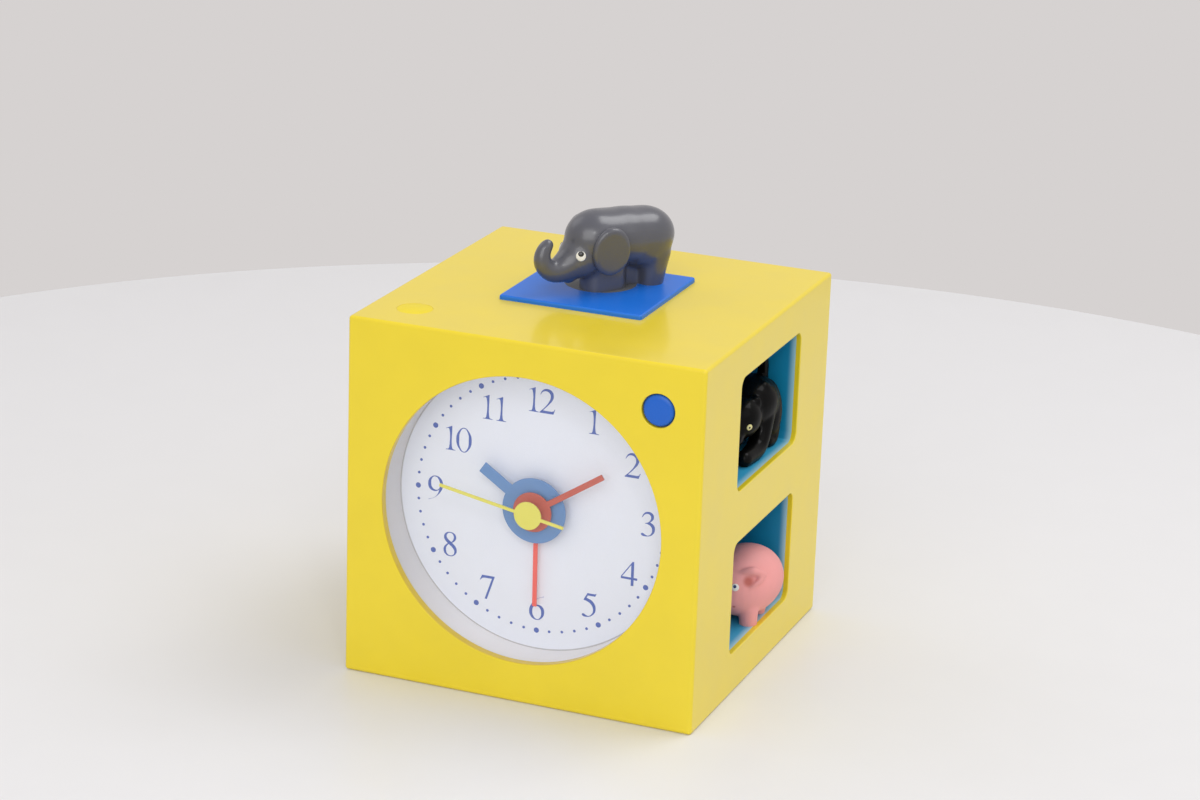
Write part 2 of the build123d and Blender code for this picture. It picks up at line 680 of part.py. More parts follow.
def pivot(x, z, radius, front=MOVEMENT_DEPTH + MOVEMENT_WALL - PIVOT_DEEP + RUN, back=LID_DEPTH + PIVOT_DEEP - RUN):
    """Arbor that runs from the front bearing to the rear one."""
    return rod_y(radius, depth_y(front), depth_y(back), x, z)


def alarm_wheel():
    """Alarm wheel on the outermost tube."""
    pair = gear_pair(ALARM_CENTRES, ALARM_TEETH, ALARM_PINION_TEETH)
    wheel = gear(ALARM_TEETH, pair, layer(0), 0, DIAL_Z, 0.0, HOUR_TUBE_R + RUN)
    return wheel + tube(ALARM_TUBE_R, HOUR_TUBE_R + RUN, ALARM_DEPTH - HAND_T, layer(0)[1])


def hour_wheel():
    """Hour wheel on the second tube."""
    pair = gear_pair(MOTION_CENTRES, MINUTE_PINION_TEETH, HOUR_TEETH)
    wheel = gear(HOUR_TEETH, pair, layer(1), 0, DIAL_Z, 180.0, CANNON_R + RUN)
    return wheel + tube(HOUR_TUBE_R, CANNON_R + RUN, HOUR_DEPTH - HAND_T / 2, layer(1)[1])


def minute_cannon():
    """Cannon pinion on the tube that carries the minute hand."""
    pair = gear_pair(MOTION_CENTRES, CANNON_TEETH, MINUTE_WHEEL_TEETH)
    pinion = gear(CANNON_TEETH, pair, layer(2), 0, DIAL_Z, 180.0, ARBOR_R + RUN)
    return pinion + tube(CANNON_R, ARBOR_R + RUN, MINUTE_DEPTH - HAND_T / 2, layer(3)[1])


def centre_wheel():
    """Wheel that drives the cannon through friction."""
    pair = gear_pair(THIRD_CENTRES, THIRD_PINION_TEETH, CENTRE_TEETH)
    return gear(CENTRE_TEETH, pair, layer(3), 0, DIAL_Z, 90.0, CANNON_R + RUN)


def third_wheel():
    """Wheel and pinion between the second wheel and the centre wheel."""
    z = DIAL_Z + THIRD_CENTRES
    wheel_pair = gear_pair(THIRD_CENTRES, SECOND_PINION_TEETH, THIRD_TEETH)
    pinion_pair = gear_pair(THIRD_CENTRES, THIRD_PINION_TEETH, CENTRE_TEETH)
    first = mate_tooth(90.0, THIRD_PINION_TEETH)
    pinion = gear(THIRD_PINION_TEETH, pinion_pair, layer(3), 0, z, first, PIVOT_R / 2)
    wheel = gear(THIRD_TEETH, wheel_pair, layer(4), 0, z, mate_tooth(90.0, THIRD_TEETH), PIVOT_R / 2)
    return pinion + wheel + pivot(0, z, PIVOT_R)


def second_wheel():
    """Middle arbor with the second wheel and its pinion."""
    pinion_pair = gear_pair(THIRD_CENTRES, SECOND_PINION_TEETH, THIRD_TEETH)
    wheel_pair = gear_pair(STEP_CENTRES, STEP_PINION_TEETH, SECOND_TEETH)
    pinion = gear(SECOND_PINION_TEETH, pinion_pair, layer(4), 0, DIAL_Z, 90.0, ARBOR_R / 2)
    wheel = gear(SECOND_TEETH, wheel_pair, layer(5), 0, DIAL_Z, 270.0, ARBOR_R / 2)
    arbor = pivot(0, DIAL_Z, ARBOR_R, SECOND_DEPTH + 2 * HAND_T + SEAT)
    return pinion + wheel + arbor


def step_wheel():
    """Wheel and pinion between the rotor and the second wheel."""
    z = DIAL_Z - STEP_CENTRES
    pinion_pair = gear_pair(STEP_CENTRES, STEP_PINION_TEETH, SECOND_TEETH)
    wheel_pair = gear_pair(ROTOR_CENTRES, ROTOR_PINION_TEETH, STEP_TEETH)
    first = mate_tooth(270.0, STEP_PINION_TEETH)
    pinion = gear(STEP_PINION_TEETH, pinion_pair, layer(5), 0, z, first, PIVOT_R / 2)
    wheel = gear(STEP_TEETH, wheel_pair, layer(6), 0, z, ROTOR_BEARING, PIVOT_R / 2)
    return pinion + wheel + pivot(0, z, PIVOT_R)


def rotor():
    """Magnet rotor of the stepping motor with its pinion."""
    x, z = rotor_place()
    pair = gear_pair(ROTOR_CENTRES, ROTOR_PINION_TEETH, STEP_TEETH)
    tooth = mate_tooth(ROTOR_BEARING, ROTOR_PINION_TEETH)
    pinion = gear(ROTOR_PINION_TEETH, pair, layer(6), x, z, tooth, PIVOT_R / 2)
    magnet_front = layer(6)[1]
    magnet = rod_y(MAGNET_R, depth_y(magnet_front), depth_y(magnet_front + MAGNET_T), x, z)
    return pinion + magnet + pivot(x, z, PIVOT_R)


def coil_place():
    """X and Z of the coil's middle, beside the rotor and the alarm arbor."""
    return MOVEMENT / 2 - MOVEMENT_WALL - COIL_R - STATOR_GAP, DIAL_Z


def stator():
    """Flat iron of the stepping motor round the rotor, with the core through the coil."""
    rotor_x, rotor_z = rotor_place()
    coil_x, coil_z = coil_place()
    reach = MAGNET_R + STATOR_GAP
    back = depth_y(LID_DEPTH)
    front = back - STATOR_T
    side = reach + STATOR_MARGIN
    plate = block(rotor_x - side, coil_x + CORE / 2, front, back, rotor_z - side, rotor_z + reach + CORE / 2)
    plate -= rod_y(reach, front - CUT, back + CUT, rotor_x, rotor_z)
    plate -= rod_y(PIVOT_R + STATOR_GAP, front - CUT, back + CUT, 0, DIAL_Z - STEP_CENTRES)
    core_top = coil_z + COIL_LENGTH / 2 + CORE
    core = block(coil_x - CORE / 2, coil_x + CORE / 2, front, back, rotor_z, core_top)
    return plate + core


def coil():
    """Copper winding round the stator's core."""
    x, z = coil_place()
    middle_y = depth_y(LID_DEPTH) - STATOR_T / 2
    squash = STATOR_T / 2 + COIL_BUILD
    half = COIL_LENGTH / 2
    winding = block(x - COIL_R, x + COIL_R, middle_y - squash, depth_y(LID_DEPTH) - SEAT, z - half, z + half)
    hole = block(
        x - CORE / 2 - SEAT,
        x + CORE / 2 + SEAT,
        middle_y - STATOR_T / 2 - SEAT,
        depth_y(LID_DEPTH),
        z - COIL_LENGTH,
        z + COIL_LENGTH,
    )
    return winding - hole


def movement_board():
    """Timing board on the inside of the movement's lid."""
    width, height = CHIP_BOARD
    x0 = -MOVEMENT / 2 + 2 * MOVEMENT_WALL
    z1 = DIAL_Z + MOVEMENT / 2 - 2 * MOVEMENT_WALL
    back = depth_y(LID_DEPTH)
    return block(x0, x0 + width, back - CHIP_BOARD_T, back, z1 - height, z1)


def crystal():
    """Quartz crystal can on the timing board."""
    x0 = -MOVEMENT / 2 + 3 * MOVEMENT_WALL
    z = DIAL_Z + MOVEMENT / 2 - 2 * MOVEMENT_WALL - CHIP_BOARD[1] / 2
    y = depth_y(LID_DEPTH) - CHIP_BOARD_T - CRYSTAL_R
    return rod_x(CRYSTAL_R, x0, x0 + CRYSTAL_LENGTH, y, z)


def minute_wheel():
    """Wheel and pinion between the cannon and the hour wheel, on the time setting arbor."""
    wheel_pair = gear_pair(MOTION_CENTRES, CANNON_TEETH, MINUTE_WHEEL_TEETH)
    pinion_pair = gear_pair(MOTION_CENTRES, MINUTE_PINION_TEETH, HOUR_TEETH)
    bore = SET_ARBOR_R / 2
    pinion_tooth = mate_tooth(180.0, MINUTE_PINION_TEETH)
    wheel_tooth = mate_tooth(180.0, MINUTE_WHEEL_TEETH)
    pinion = gear(MINUTE_PINION_TEETH, pinion_pair, layer(1), TIME_X, DIAL_Z, pinion_tooth, bore)
    wheel = gear(MINUTE_WHEEL_TEETH, wheel_pair, layer(2), TIME_X, DIAL_Z, wheel_tooth, bore)
    return pinion + wheel + set_arbor(TIME_X)


def alarm_set_gear():
    """Pinion of the alarm setting arbor."""
    pair = gear_pair(ALARM_CENTRES, ALARM_TEETH, ALARM_PINION_TEETH)
    tooth = mate_tooth(0.0, ALARM_PINION_TEETH)
    pinion = gear(ALARM_PINION_TEETH, pair, layer(0), ALARM_X, DIAL_Z, tooth, SET_ARBOR_R / 2)
    return pinion + set_arbor(ALARM_X)


def set_arbor(x):
    """Setting arbor that comes out of the movement's lid."""
    out = LID_DEPTH + MOVEMENT_WALL + SET_ARBOR_OUT
    return pivot(x, DIAL_Z, SET_ARBOR_R, back=out)


def stem(x):
    """Long stem from a setting arbor to its knob, through the floor of the cover's recess."""
    front = depth_y(LID_DEPTH + MOVEMENT_WALL) + LAYER_GAP
    back = RECESS_FLOOR_Y + KNOB_GAP + KNOB_SOCKET
    bar = rod_y(STEM_R, front, back, x, DIAL_Z)
    socket_end = depth_y(LID_DEPTH + MOVEMENT_WALL + SET_ARBOR_OUT) + SEAT
    return bar - rod_y(SET_ARBOR_R + SEAT, front - CUT, socket_end, x, DIAL_Z)


def knob(x):
    """Ribbed setting knob that stands in the recess of the rear cover."""
    front = RECESS_FLOOR_Y + KNOB_GAP
    outline = Circle(KNOB_R - KNOB_RIB_R)
    for index in range(KNOB_RIBS):
        outline += Rot(Z=360.0 * index / KNOB_RIBS) * Pos(KNOB_R - KNOB_RIB_R, 0) * Circle(KNOB_RIB_R)
    body = prism_y(outline, front, front + KNOB_T, x, DIAL_Z)
    body = fillet(body.faces().sort_by(Axis.Y)[-1].edges(), KNOB_RIB_R / 3)
    return body - rod_y(STEM_R + SEAT, front - CUT, front + KNOB_SOCKET + SEAT, x, DIAL_Z)


def rear_cover():
    """Flat rear cover with the knob recess, the speaker grille and the battery bay."""
    side = INNER - COVER_GAP
    cover = block(-side, side, COVER_Y, BACK_Y, WALL + COVER_GAP, CASE - WALL - COVER_GAP)
    x0 = TIME_X - RECESS_HALF_H
    x1 = ALARM_X + RECESS_HALF_H
    z0 = DIAL_Z - RECESS_HALF_H
    z1 = DIAL_Z + RECESS_HALF_H
    t = RECESS_WALL
    cover += block(x0 - t, x1 + t, RECESS_FLOOR_Y - t, COVER_Y, z0 - t, z1 + t)
    cover -= block(x0, x1, RECESS_FLOOR_Y, BACK_Y + CUT, z0, z1)
    for x in (TIME_X, ALARM_X):
        cover -= rod_y(STEM_R + RUN, RECESS_FLOOR_Y - t - CUT, RECESS_FLOOR_Y + CUT, x, DIAL_Z)
    for x, z in cover_screw_places():
        cover -= rod_y(SCREW_R + LOOSE, COVER_Y - CUT, BACK_Y + CUT, x, z)
        cover -= rod_y(SCREW_HEAD_R + LOOSE, BACK_Y - SCREW_HEAD_T, BACK_Y + CUT, x, z)
    for x, z in grille_places():
        cover -= rod_y(GRILLE_R, COVER_Y - CUT, BACK_Y + CUT, x, z)
    for angle in CLAMP_ANGLES:
        x, z = clamp_place(angle)
        cover += rod_y(BOSS_R, COVER_Y - SPEAKER_RIM_T, COVER_Y, x, z)
    cover -= rod_y(SPEAKER_R + LOOSE, COVER_Y - SPEAKER_RIM_T - CUT, COVER_Y, 0, SPEAKER_Z)
    for angle in CLAMP_ANGLES:
        x, z = clamp_place(angle)
        cover -= rod_y(SCREW_R + RUN, COVER_Y - SPEAKER_RIM_T - CUT, COVER_Y + COVER_T / 2, x, z)
    return battery_bay(cover)


def battery_bay(cover):
    """The rear cover with its battery bay, door opening and door screw boss added."""
    rim = BAY_WALL
    bay_front = COVER_Y - rim - BAY_DEEP
    half_l = BAY_L / 2
    z0 = BAY_Z - BAY_H / 2
    z1 = BAY_Z + BAY_H / 2
    cover -= block(DOOR_X0, DOOR_X1, COVER_Y - CUT, BACK_Y + CUT, DOOR_Z0, DOOR_Z1)
    cover += block(DOOR_X0 - rim, DOOR_X1 + rim, COVER_Y - rim, COVER_Y, DOOR_Z0 - rim, DOOR_Z1 + rim)
    cover += block(-half_l - rim, half_l + rim, bay_front - rim, COVER_Y, z0 - rim, z1 + rim)
    cover -= block(-half_l, half_l, bay_front, BACK_Y + CUT, z0, z1)
    cover += rod_y(BOSS_R, COVER_Y - SCREW_LENGTH, COVER_Y, DOOR_SCREW_X, BAY_Z)
    return cover - rod_y(SCREW_R + RUN, COVER_Y - SCREW_LENGTH + CUT, COVER_Y + CUT, DOOR_SCREW_X, BAY_Z)


def grille_places():
    """X and Z of the sound holes, a middle one and rings of six, twelve and eighteen."""
    places = [(0.0, SPEAKER_Z)]
    for ring in range(1, GRILLE_RINGS + 1):
        for index in range(6 * ring):
            angle = 2 * pi * index / (6 * ring)
            places.append((ring * GRILLE_PITCH * cos(angle), SPEAKER_Z + ring * GRILLE_PITCH * sin(angle)))
    return places


def clamp_place(angle):
    """X and Z of one of the screws that clamp the speaker's rim."""
    reach = SPEAKER_R + SCREW_R + 2 * LOOSE
    return reach * cos(radians(angle)), SPEAKER_Z + reach * sin(radians(angle))


def cover_screws():
    """Four screws of the rear cover."""
    place = BACK_Y - SCREW_HEAD_T
    return Compound([Pos(x, place, z) * Rot(X=-90) * screw() for x, z in cover_screw_places()])


def speaker_screws():
    """Three screws whose heads hold the speaker's rim."""
    solids = []
    for angle in CLAMP_ANGLES:
        x, z = clamp_place(angle)
        solids.append(Pos(x, COVER_Y - SPEAKER_RIM_T, z) * Rot(X=90) * screw(SPEAKER_RIM_T + COVER_T / 4))
    return Compound(solids)


def around_speaker(points):
    """Solid of revolution about the speaker's axis, from radius and distance in front of the cover."""
    outline = make_face(Polyline([(r, d) for r, d in points], close=True))
    solid = revolve(Plane(origin=(0, 0, 0), x_dir=(1, 0, 0), z_dir=(0, -1, 0)) * outline, Axis.Z)
    return Pos(0, COVER_Y, SPEAKER_Z) * Rot(X=90) * solid


def speaker_frame():
    """Pressed steel basket of the speaker."""
    inner = SPEAKER_R - SPEAKER_RIM
    waist = MAGNET_CUP_R - MAGNET_CUP_LIP
    shell = SPEAKER_SHELL
    return around_speaker(
        [
            (inner, 0),
            (SPEAKER_R, 0),
            (SPEAKER_R, SPEAKER_RIM_T),
            (inner + shell, SPEAKER_RIM_T),
            (waist + shell, SPEAKER_DEEP),
            (waist - shell, SPEAKER_DEEP),
            (waist - shell, SPEAKER_DEEP - shell),
            (waist, SPEAKER_DEEP - shell),
            (inner, SPEAKER_RIM_T),
        ]
    )


def speaker_cone():
    """Paper cone with its dust cap, glued inside the basket's rim."""
    rim = SPEAKER_R - SPEAKER_RIM - SEAT
    low = SPEAKER_DEEP - 3 * SPEAKER_SHELL
    return around_speaker(
        [
            (0, low - CONE_CAP),
            (CONE_BASE_R, low),
            (rim, CONE_T / 2),
            (rim, CONE_T * 1.5),
            (CONE_BASE_R, low + CONE_T),
            (0, low - CONE_CAP + CONE_T),
        ]
    )


def speaker_magnet():
    """Magnet cup behind the basket."""
    cup = [(0, SPEAKER_DEEP), (MAGNET_CUP_R, SPEAKER_DEEP)]
    cup += [(MAGNET_CUP_R, SPEAKER_DEEP + MAGNET_CUP_T), (0, SPEAKER_DEEP + MAGNET_CUP_T)]
    return around_speaker(cup)


def sound_board():
    """Main circuit board on four bosses of the left wall."""
    width, height = SOUND_BOARD
    y0 = SOUND_BOARD_Y - width / 2
    board = block(BOARD_X, BOARD_X + SOUND_BOARD_T, y0, y0 + width, HALF - height / 2, HALF + height / 2)
    for y, z in board_screw_places():
        board -= rod_x(SCREW_R + LOOSE, BOARD_X - CUT, BOARD_X + SOUND_BOARD_T + CUT, y, z)
    return board


def board_screws():
    """Four screws of the sound board."""
    x = BOARD_X + SOUND_BOARD_T
    length = SOUND_BOARD_T + STANDOFF - WALL / 2
    return Compound([Pos(x, y, z) * Rot(Y=90) * screw(length) for y, z in board_screw_places()])


def sound_chip():
    """Sound chip on the main board."""
    x = BOARD_X + SOUND_BOARD_T
    half = SOUND_CHIP / 2
    return block(x, x + CHIP_T, SOUND_BOARD_Y - half, SOUND_BOARD_Y + half, HALF - half, HALF + half)


def capacitor():
    """Smoothing capacitor on the main board."""
    x = BOARD_X + SOUND_BOARD_T
    return rod_x(CAPACITOR_R, x, x + CAPACITOR_LENGTH, SOUND_BOARD_Y, HALF - SOUND_CHIP - CAPACITOR_R)


def top_plate():
    """Blue plate for the chosen figure, with four pegs through the top wall and a hole for the reader disc."""
    half = PLATE / 2
    plate = block(PLATE_X - half, PLATE_X + half, PLATE_Y - half, PLATE_Y + half, CASE, CASE + PLATE_T)
    plate = fillet(plate.edges().filter_by(Axis.Z), PLATE_CORNER_R)
    plate = fillet(plate.faces().sort_by(Axis.Z)[-1].edges(), PLATE_EDGE_R)
    plate -= rod_z(READER_R + SEAT, CASE - CUT, CASE + PLATE_T + CUT, READER_X, READER_Y)
    for x, y in peg_places():
        plate += rod_z(PEG_R, CASE - WALL - READER_BOARD_T + LOOSE, CASE, x, y)
        plate -= rod_z(SCREW_R + RUN, CASE - POST, CASE - WALL / 4, x, y)
    return plate


def reader_disc():
    """Grey disc of the tag reader, flush with the plate."""
    return rod_z(READER_R, CASE, CASE + PLATE_T, READER_X, READER_Y)


def reader_board():
    """Tag reader board with its chip under the top wall, held by the plate's pegs."""
    half = READER_BOARD / 2
    z1 = CASE - WALL
    board = block(PLATE_X - half, PLATE_X + half, PLATE_Y - half, PLATE_Y + half, z1 - READER_BOARD_T, z1)
    for x, y in peg_places():
        board -= rod_z(PEG_R + LOOSE, z1 - READER_BOARD_T - CUT, z1 + CUT, x, y)
    chip = READER_CHIP / 2
    z0 = z1 - READER_BOARD_T
    return board + block(PLATE_X - chip, PLATE_X + chip, PLATE_Y - chip, PLATE_Y + chip, z0 - CHIP_T, z0)


def plate_screws():
    """Four screws that clamp the reader board under the top wall and pull the plate down."""
    z = CASE - WALL - READER_BOARD_T
    length = READER_BOARD_T + WALL / 2
    washer = rod_z(PEG_R + 3 * LOOSE + SCREW_R, -SCREW_HEAD_T / 2, 0)
    one = Rot(X=180) * screw(length) + washer
    return Compound([Pos(x, y, z) * one for x, y in peg_places()])


def tray(middle_z):
    """Blue liner of one niche, open towards +X, with a flange behind the right wall."""
    floor_x = INNER - TRAY_DEEP
    outer_r = WINDOW_R + TRAY_T
    flange = 2 * (TRAY_T + TRAY_FLANGE)
    width = WINDOW_W + 2 * TRAY_T
    height = WINDOW_H + 2 * TRAY_T
    liner = rounded_window(width, height, outer_r, floor_x - TRAY_T, INNER, WINDOW_Y, middle_z)
    wide = WINDOW_W + flange
    tall = WINDOW_H + flange
    liner += rounded_window(wide, tall, outer_r, INNER - TRAY_T, INNER, WINDOW_Y, middle_z)
    return liner - rounded_window(WINDOW_W, WINDOW_H, WINDOW_R, floor_x, INNER + CUT, WINDOW_Y, middle_z)


def battery_cells():
    """Round cells lying side by side, each the other way round."""
    solids = []
    for index in range(CELL_COUNT):
        z, turn, middle_x = cell_place(index)
        cell = fillet(Cylinder(CELL_R, CELL_LENGTH).edges(), CELL_EDGE_R)
        cell += rod_z(CELL_NUB_R, 0, CELL_LENGTH / 2 + CELL_NUB)
        solids.append(Pos(middle_x, cell_y(), z) * Rot(Y=turn) * cell)
    return Compound(solids)


def cell_y():
    """Y of the cells' axes, resting on the floor of the bay."""
    return COVER_Y - BAY_WALL - BAY_DEEP + CELL_R + LOOSE


def cell_place(index):
    """Z, direction and middle X of one cell, pushed towards its plus contact."""
    z = BAY_Z - BAY_H / 2 + CELL_PITCH * (index + 0.5)
    way = 1 if index % 2 == 0 else -1
    plus_end = BAY_L / 2 - CONTACT_T - SEAT
    return z, 90.0 * way, way * (plus_end - CELL_NUB - CELL_LENGTH / 2)


def battery_contacts():
    """Sprung and plain contact plates at the two ends of the bay."""
    solids = []
    half_w = CONTACT_W / 2
    y0 = cell_y() - half_w
    for index in range(CELL_COUNT):
        z, turn, _ = cell_place(index)
        way = 1 if turn > 0 else -1
        end = way * BAY_L / 2
        plus = sorted((end, end - way * CONTACT_T))
        solids.append(block(plus[0], plus[1], y0, y0 + CONTACT_W, z - half_w, z + half_w))
        minus = sorted((-end, -end + way * CONTACT_T))
        plate = block(minus[0], minus[1], y0, y0 + CONTACT_W, z - half_w, z + half_w)
        reach = -end + way * CONTACT_SPRING
        leaf = Polyline(
            (-end, z - half_w),
            (reach, z),
            (-end, z + half_w),
            (-end, z + half_w - 2 * CONTACT_T),
            (reach - way * 2 * CONTACT_T, z),
            (-end, z - half_w + 2 * CONTACT_T),
            close=True,
        )
        solids.append(plate + prism_y(make_face(leaf), cell_y() - half_w / 2, cell_y() + half_w / 2))
    return Compound(solids)


def battery_door():
    """Flush battery door with a hole for its captive screw."""
    gap = COVER_GAP
    door = block(DOOR_X0 + gap, DOOR_X1 - gap, COVER_Y, BACK_Y, DOOR_Z0 + gap, DOOR_Z1 - gap)
    door -= rod_y(SCREW_R + RUN, COVER_Y - CUT, BACK_Y + CUT, DOOR_SCREW_X, BAY_Z)
    return door - rod_y(SCREW_HEAD_R + LOOSE, BACK_Y - SCREW_HEAD_T, BACK_Y + CUT, DOOR_SCREW_X, BAY_Z)


def door_screw():
    """Captive screw of the battery door."""
    return Pos(DOOR_SCREW_X, BACK_Y - SCREW_HEAD_T, BAY_Z) * Rot(X=-90) * screw(SCREW_LENGTH - SCREW_HEAD_T)


def ball(at, length, radius, pitch=0.0, yaw=0.0, straight=0.0):
    """Long round ball about its own X, drawn out by a straight middle, tipped nose down and turned."""
    half = straight / 2
    edges = [
        EllipticalCenterArc((half, 0), length, radius, start_angle=0, arc_size=90),
        EllipticalCenterArc((-half, 0), length, radius, start_angle=90, arc_size=90),
        Line((-half - length, 0), (half + length, 0)),
    ]
    if straight:
        edges.append(Line((half, radius), (-half, radius)))
    return Pos(*at) * Rot(Z=yaw) * Rot(Y=pitch) * revolve(make_face(edges), Axis.X)


def bone(start, end, r0, r1):
    """Tapering bar with ball ends between two points."""
    axis = Vector(*end) - Vector(*start)
    reach = axis.length
    edges = [
        EllipticalCenterArc((0, 0), r0, r0, start_angle=90, arc_size=90),
        Line((0, r0), (reach, r1)),
        EllipticalCenterArc((reach, 0), r1, r1, start_angle=0, arc_size=90),
        Line((-r0, 0), (reach + r1, 0)),
    ]
    return Plane(origin=start, z_dir=axis) * (Rot(Y=-90) * revolve(make_face(edges), Axis.X))


def limb(points, radii):
    """Round limb through a few points, each bone a little thinner than the joint it starts in."""
    solid = bone(points[0], points[1], radii[0], radii[1])
    for start, end, r0, r1 in zip(points[1:], points[2:], radii[1:], radii[2:]):
        solid += bone(start, end, KNUCKLE * r0, r1)
    return solid


def other_side(point, side):
    """A point on the figure's left (1) or right (-1) side."""
    return point[0], side * point[1], point[2]


def both_balls(body, at, length, radius, pitch=0.0, yaw=0.0):
    """The body with the same ball on both sides."""
    for side in (-1, 1):
        body += ball(other_side(at, side), length, radius, pitch, side * yaw)
    return body


def both_limbs(body, points, radii):
    """The body with the same limb on both sides."""
    for side in (-1, 1):
        body += limb([other_side(point, side) for point in points], radii)
    return body


def on_ground(figure):
    """The figure with everything under its soles cut away."""
    return figure - block(-CASE, CASE, -CASE, CASE, -CASE, 0)


def elephant():
    """Grey elephant that stands on the plate with its trunk curled up."""
    width, depth, corner, height = ELEPHANT_FORELEGS
    web_back, web_front, web_t, web_top = ELEPHANT_WEB
    body = ball(*ELEPHANT_BACK, straight=ELEPHANT_BACK_STRAIGHT)
    body = both_limbs(body, ELEPHANT_HIND_LEG, ELEPHANT_HIND_LEG_R)
    body += extrude(RectangleRounded(width, depth, corner), height)
    body += block(web_back, web_front, -web_t / 2, web_t / 2, 0, web_top)
    body += ball(*ELEPHANT_CHEEKS)
    body = both_balls(body, *ELEPHANT_EAR)
    body += limb(ELEPHANT_TRUNK_ROOT, ELEPHANT_TRUNK_ROOT_R)
    body += limb(ELEPHANT_TRUNK_TIP, ELEPHANT_TRUNK_TIP_R)
    return on_ground(body + ball(*ELEPHANT_LIP))


def panther():
    """Black panther that crouches with its head low between its forelegs."""
    body = ball(*PANTHER_BACK) + limb(PANTHER_TAIL, PANTHER_TAIL_R)
    body = both_balls(body, *PANTHER_SHOULDER)
    body = both_limbs(body, PANTHER_FORELEG, PANTHER_FORELEG_R)
    body = both_balls(body, *PANTHER_HAUNCH)
    body = both_limbs(body, PANTHER_HIND_LEG, PANTHER_HIND_LEG_R)
    body = body + ball(*PANTHER_HEAD) + ball(*PANTHER_MUZZLE)
    return on_ground(both_balls(body, *PANTHER_EAR))


def pig():
    """Pink pig with a round body, a flat snout and four short feet."""
    snout = limb(PIG_SNOUT, PIG_SNOUT_R) - block(PIG_SNOUT_END, CASE, -CASE, CASE, 0, CASE)
    body = ball(*PIG_BODY) + snout + limb(PIG_TAIL, PIG_TAIL_R)
    body = both_balls(body, *PIG_EAR)
    body = both_limbs(body, PIG_FORELEG, PIG_FORELEG_R)
    return on_ground(both_limbs(body, PIG_HIND_LEG, PIG_HIND_LEG_R))


def stand(figure, x, y, z, turn):
    """A figure on its place in the clock."""
    return Pos(x, y, z) * Rot(Z=turn) * figure


def figures():
    """The three figures where the clock keeps them."""
    upper = WINDOW_ZS["upper"] - WINDOW_H / 2 + SEAT
    lower = WINDOW_ZS["lower"] - WINDOW_H / 2 + SEAT
    return {
        "elephant": stand(elephant(), *ELEPHANT_AT, CASE + PLATE_T, ELEPHANT_TURN),
        "panther": stand(panther(), HALF - PANTHER_INSET, PANTHER_Y, upper, PANTHER_TURN),
        "pig": stand(pig(), HALF - PIG_INSET, PIG_Y, lower, PIG_TURN),
    }


def clock():
    """Every piece of the clock by name."""
    alarm_frame = alarm_button_frame()
    top_frame = snooze_frame()
    pieces = {
        "case_shell": case_shell(),
        "rear_cover": rear_cover(),
        "cover_screws": cover_screws(),
        "lens": lens(),
        "dial_ring": dial_ring(),
        "dial": dial(),
        "dial_screws": dial_screws(),
        "second_hand": second_hand(),
        "minute_hand": hand(
            MINUTE_DISC_R, MINUTE_BAR, MINUTE_TIP, 0, MINUTE_DEPTH, MINUTE_ANGLE, CANNON_R + SEAT,
        ),
        "hour_hand": hand(HOUR_DISC_R, HOUR_BAR, HOUR_TIP, 0, HOUR_DEPTH, HOUR_ANGLE, HOUR_TUBE_R + SEAT),
        "alarm_hand": hand(
            ALARM_DISC_R, ALARM_BAR, ALARM_TIP, 0, ALARM_DEPTH, ALARM_ANGLE, ALARM_TUBE_R + SEAT,
        ),
        "movement_front": movement_front(),
        "movement_back": movement_back(),
        "movement_nut": movement_nut(),
        "alarm_wheel": alarm_wheel(),
        "hour_wheel": hour_wheel(),
        "minute_cannon": minute_cannon(),
        "centre_wheel": centre_wheel(),
        "third_wheel": third_wheel(),
        "second_wheel": second_wheel(),
        "step_wheel": step_wheel(),
        "rotor": rotor(),
        "stator": stator(),
        "coil": coil(),
        "movement_board": movement_board(),
        "crystal": crystal(),
        "minute_wheel": minute_wheel(),
        "time_stem": stem(TIME_X),
        "time_knob": knob(TIME_X),
        "alarm_set_gear": alarm_set_gear(),
        "alarm_stem": stem(ALARM_X),
        "alarm_knob": knob(ALARM_X),
        "alarm_button": alarm_frame * push_button(BUTTON_R),
        "alarm_button_dome": alarm_frame * button_dome(),
        "alarm_switch_board": alarm_frame * switch_board(),
        "snooze_button": top_frame * push_button(SNOOZE_R),
        "snooze_button_dome": top_frame * button_dome(),
        "snooze_switch_board": top_frame * switch_board(),
        "switch_screws": switch_screws(),
        "top_plate": top_plate(),
        "reader_disc": reader_disc(),
        "reader_board": reader_board(),
        "plate_screws": plate_screws(),
        "upper_tray": tray(WINDOW_ZS["upper"]),
        "lower_tray": tray(WINDOW_ZS["lower"]),
        "speaker_frame": speaker_frame(),
        "speaker_cone": speaker_cone(),
        "speaker_magnet": speaker_magnet(),
        "speaker_screws": speaker_screws(),
        "sound_board": sound_board(),
        "sound_chip": sound_chip(),
        "capacitor": capacitor(),
        "board_screws": board_screws(),
        "battery_cells": battery_cells(),
        "battery_contacts": battery_contacts(),
        "battery_door": battery_door(),
        "door_screw": door_screw(),
    }
    return pieces | figures()


def main():
    """Write one file for each piece."""
    os.makedirs("parts", exist_ok=True)
    for name, shape in clock().items():
        export_step(shape, f"parts/{name}.step")


main()
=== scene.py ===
import json
import logging
import math
from dataclasses import dataclass, field
from enum import Enum
from typing import Iterable, Sequence, Union

import bmesh
import bpy
from bpy.types import Material, Mesh, Object
from mathutils import Matrix, Vector
from mathutils.bvhtree import BVHTree

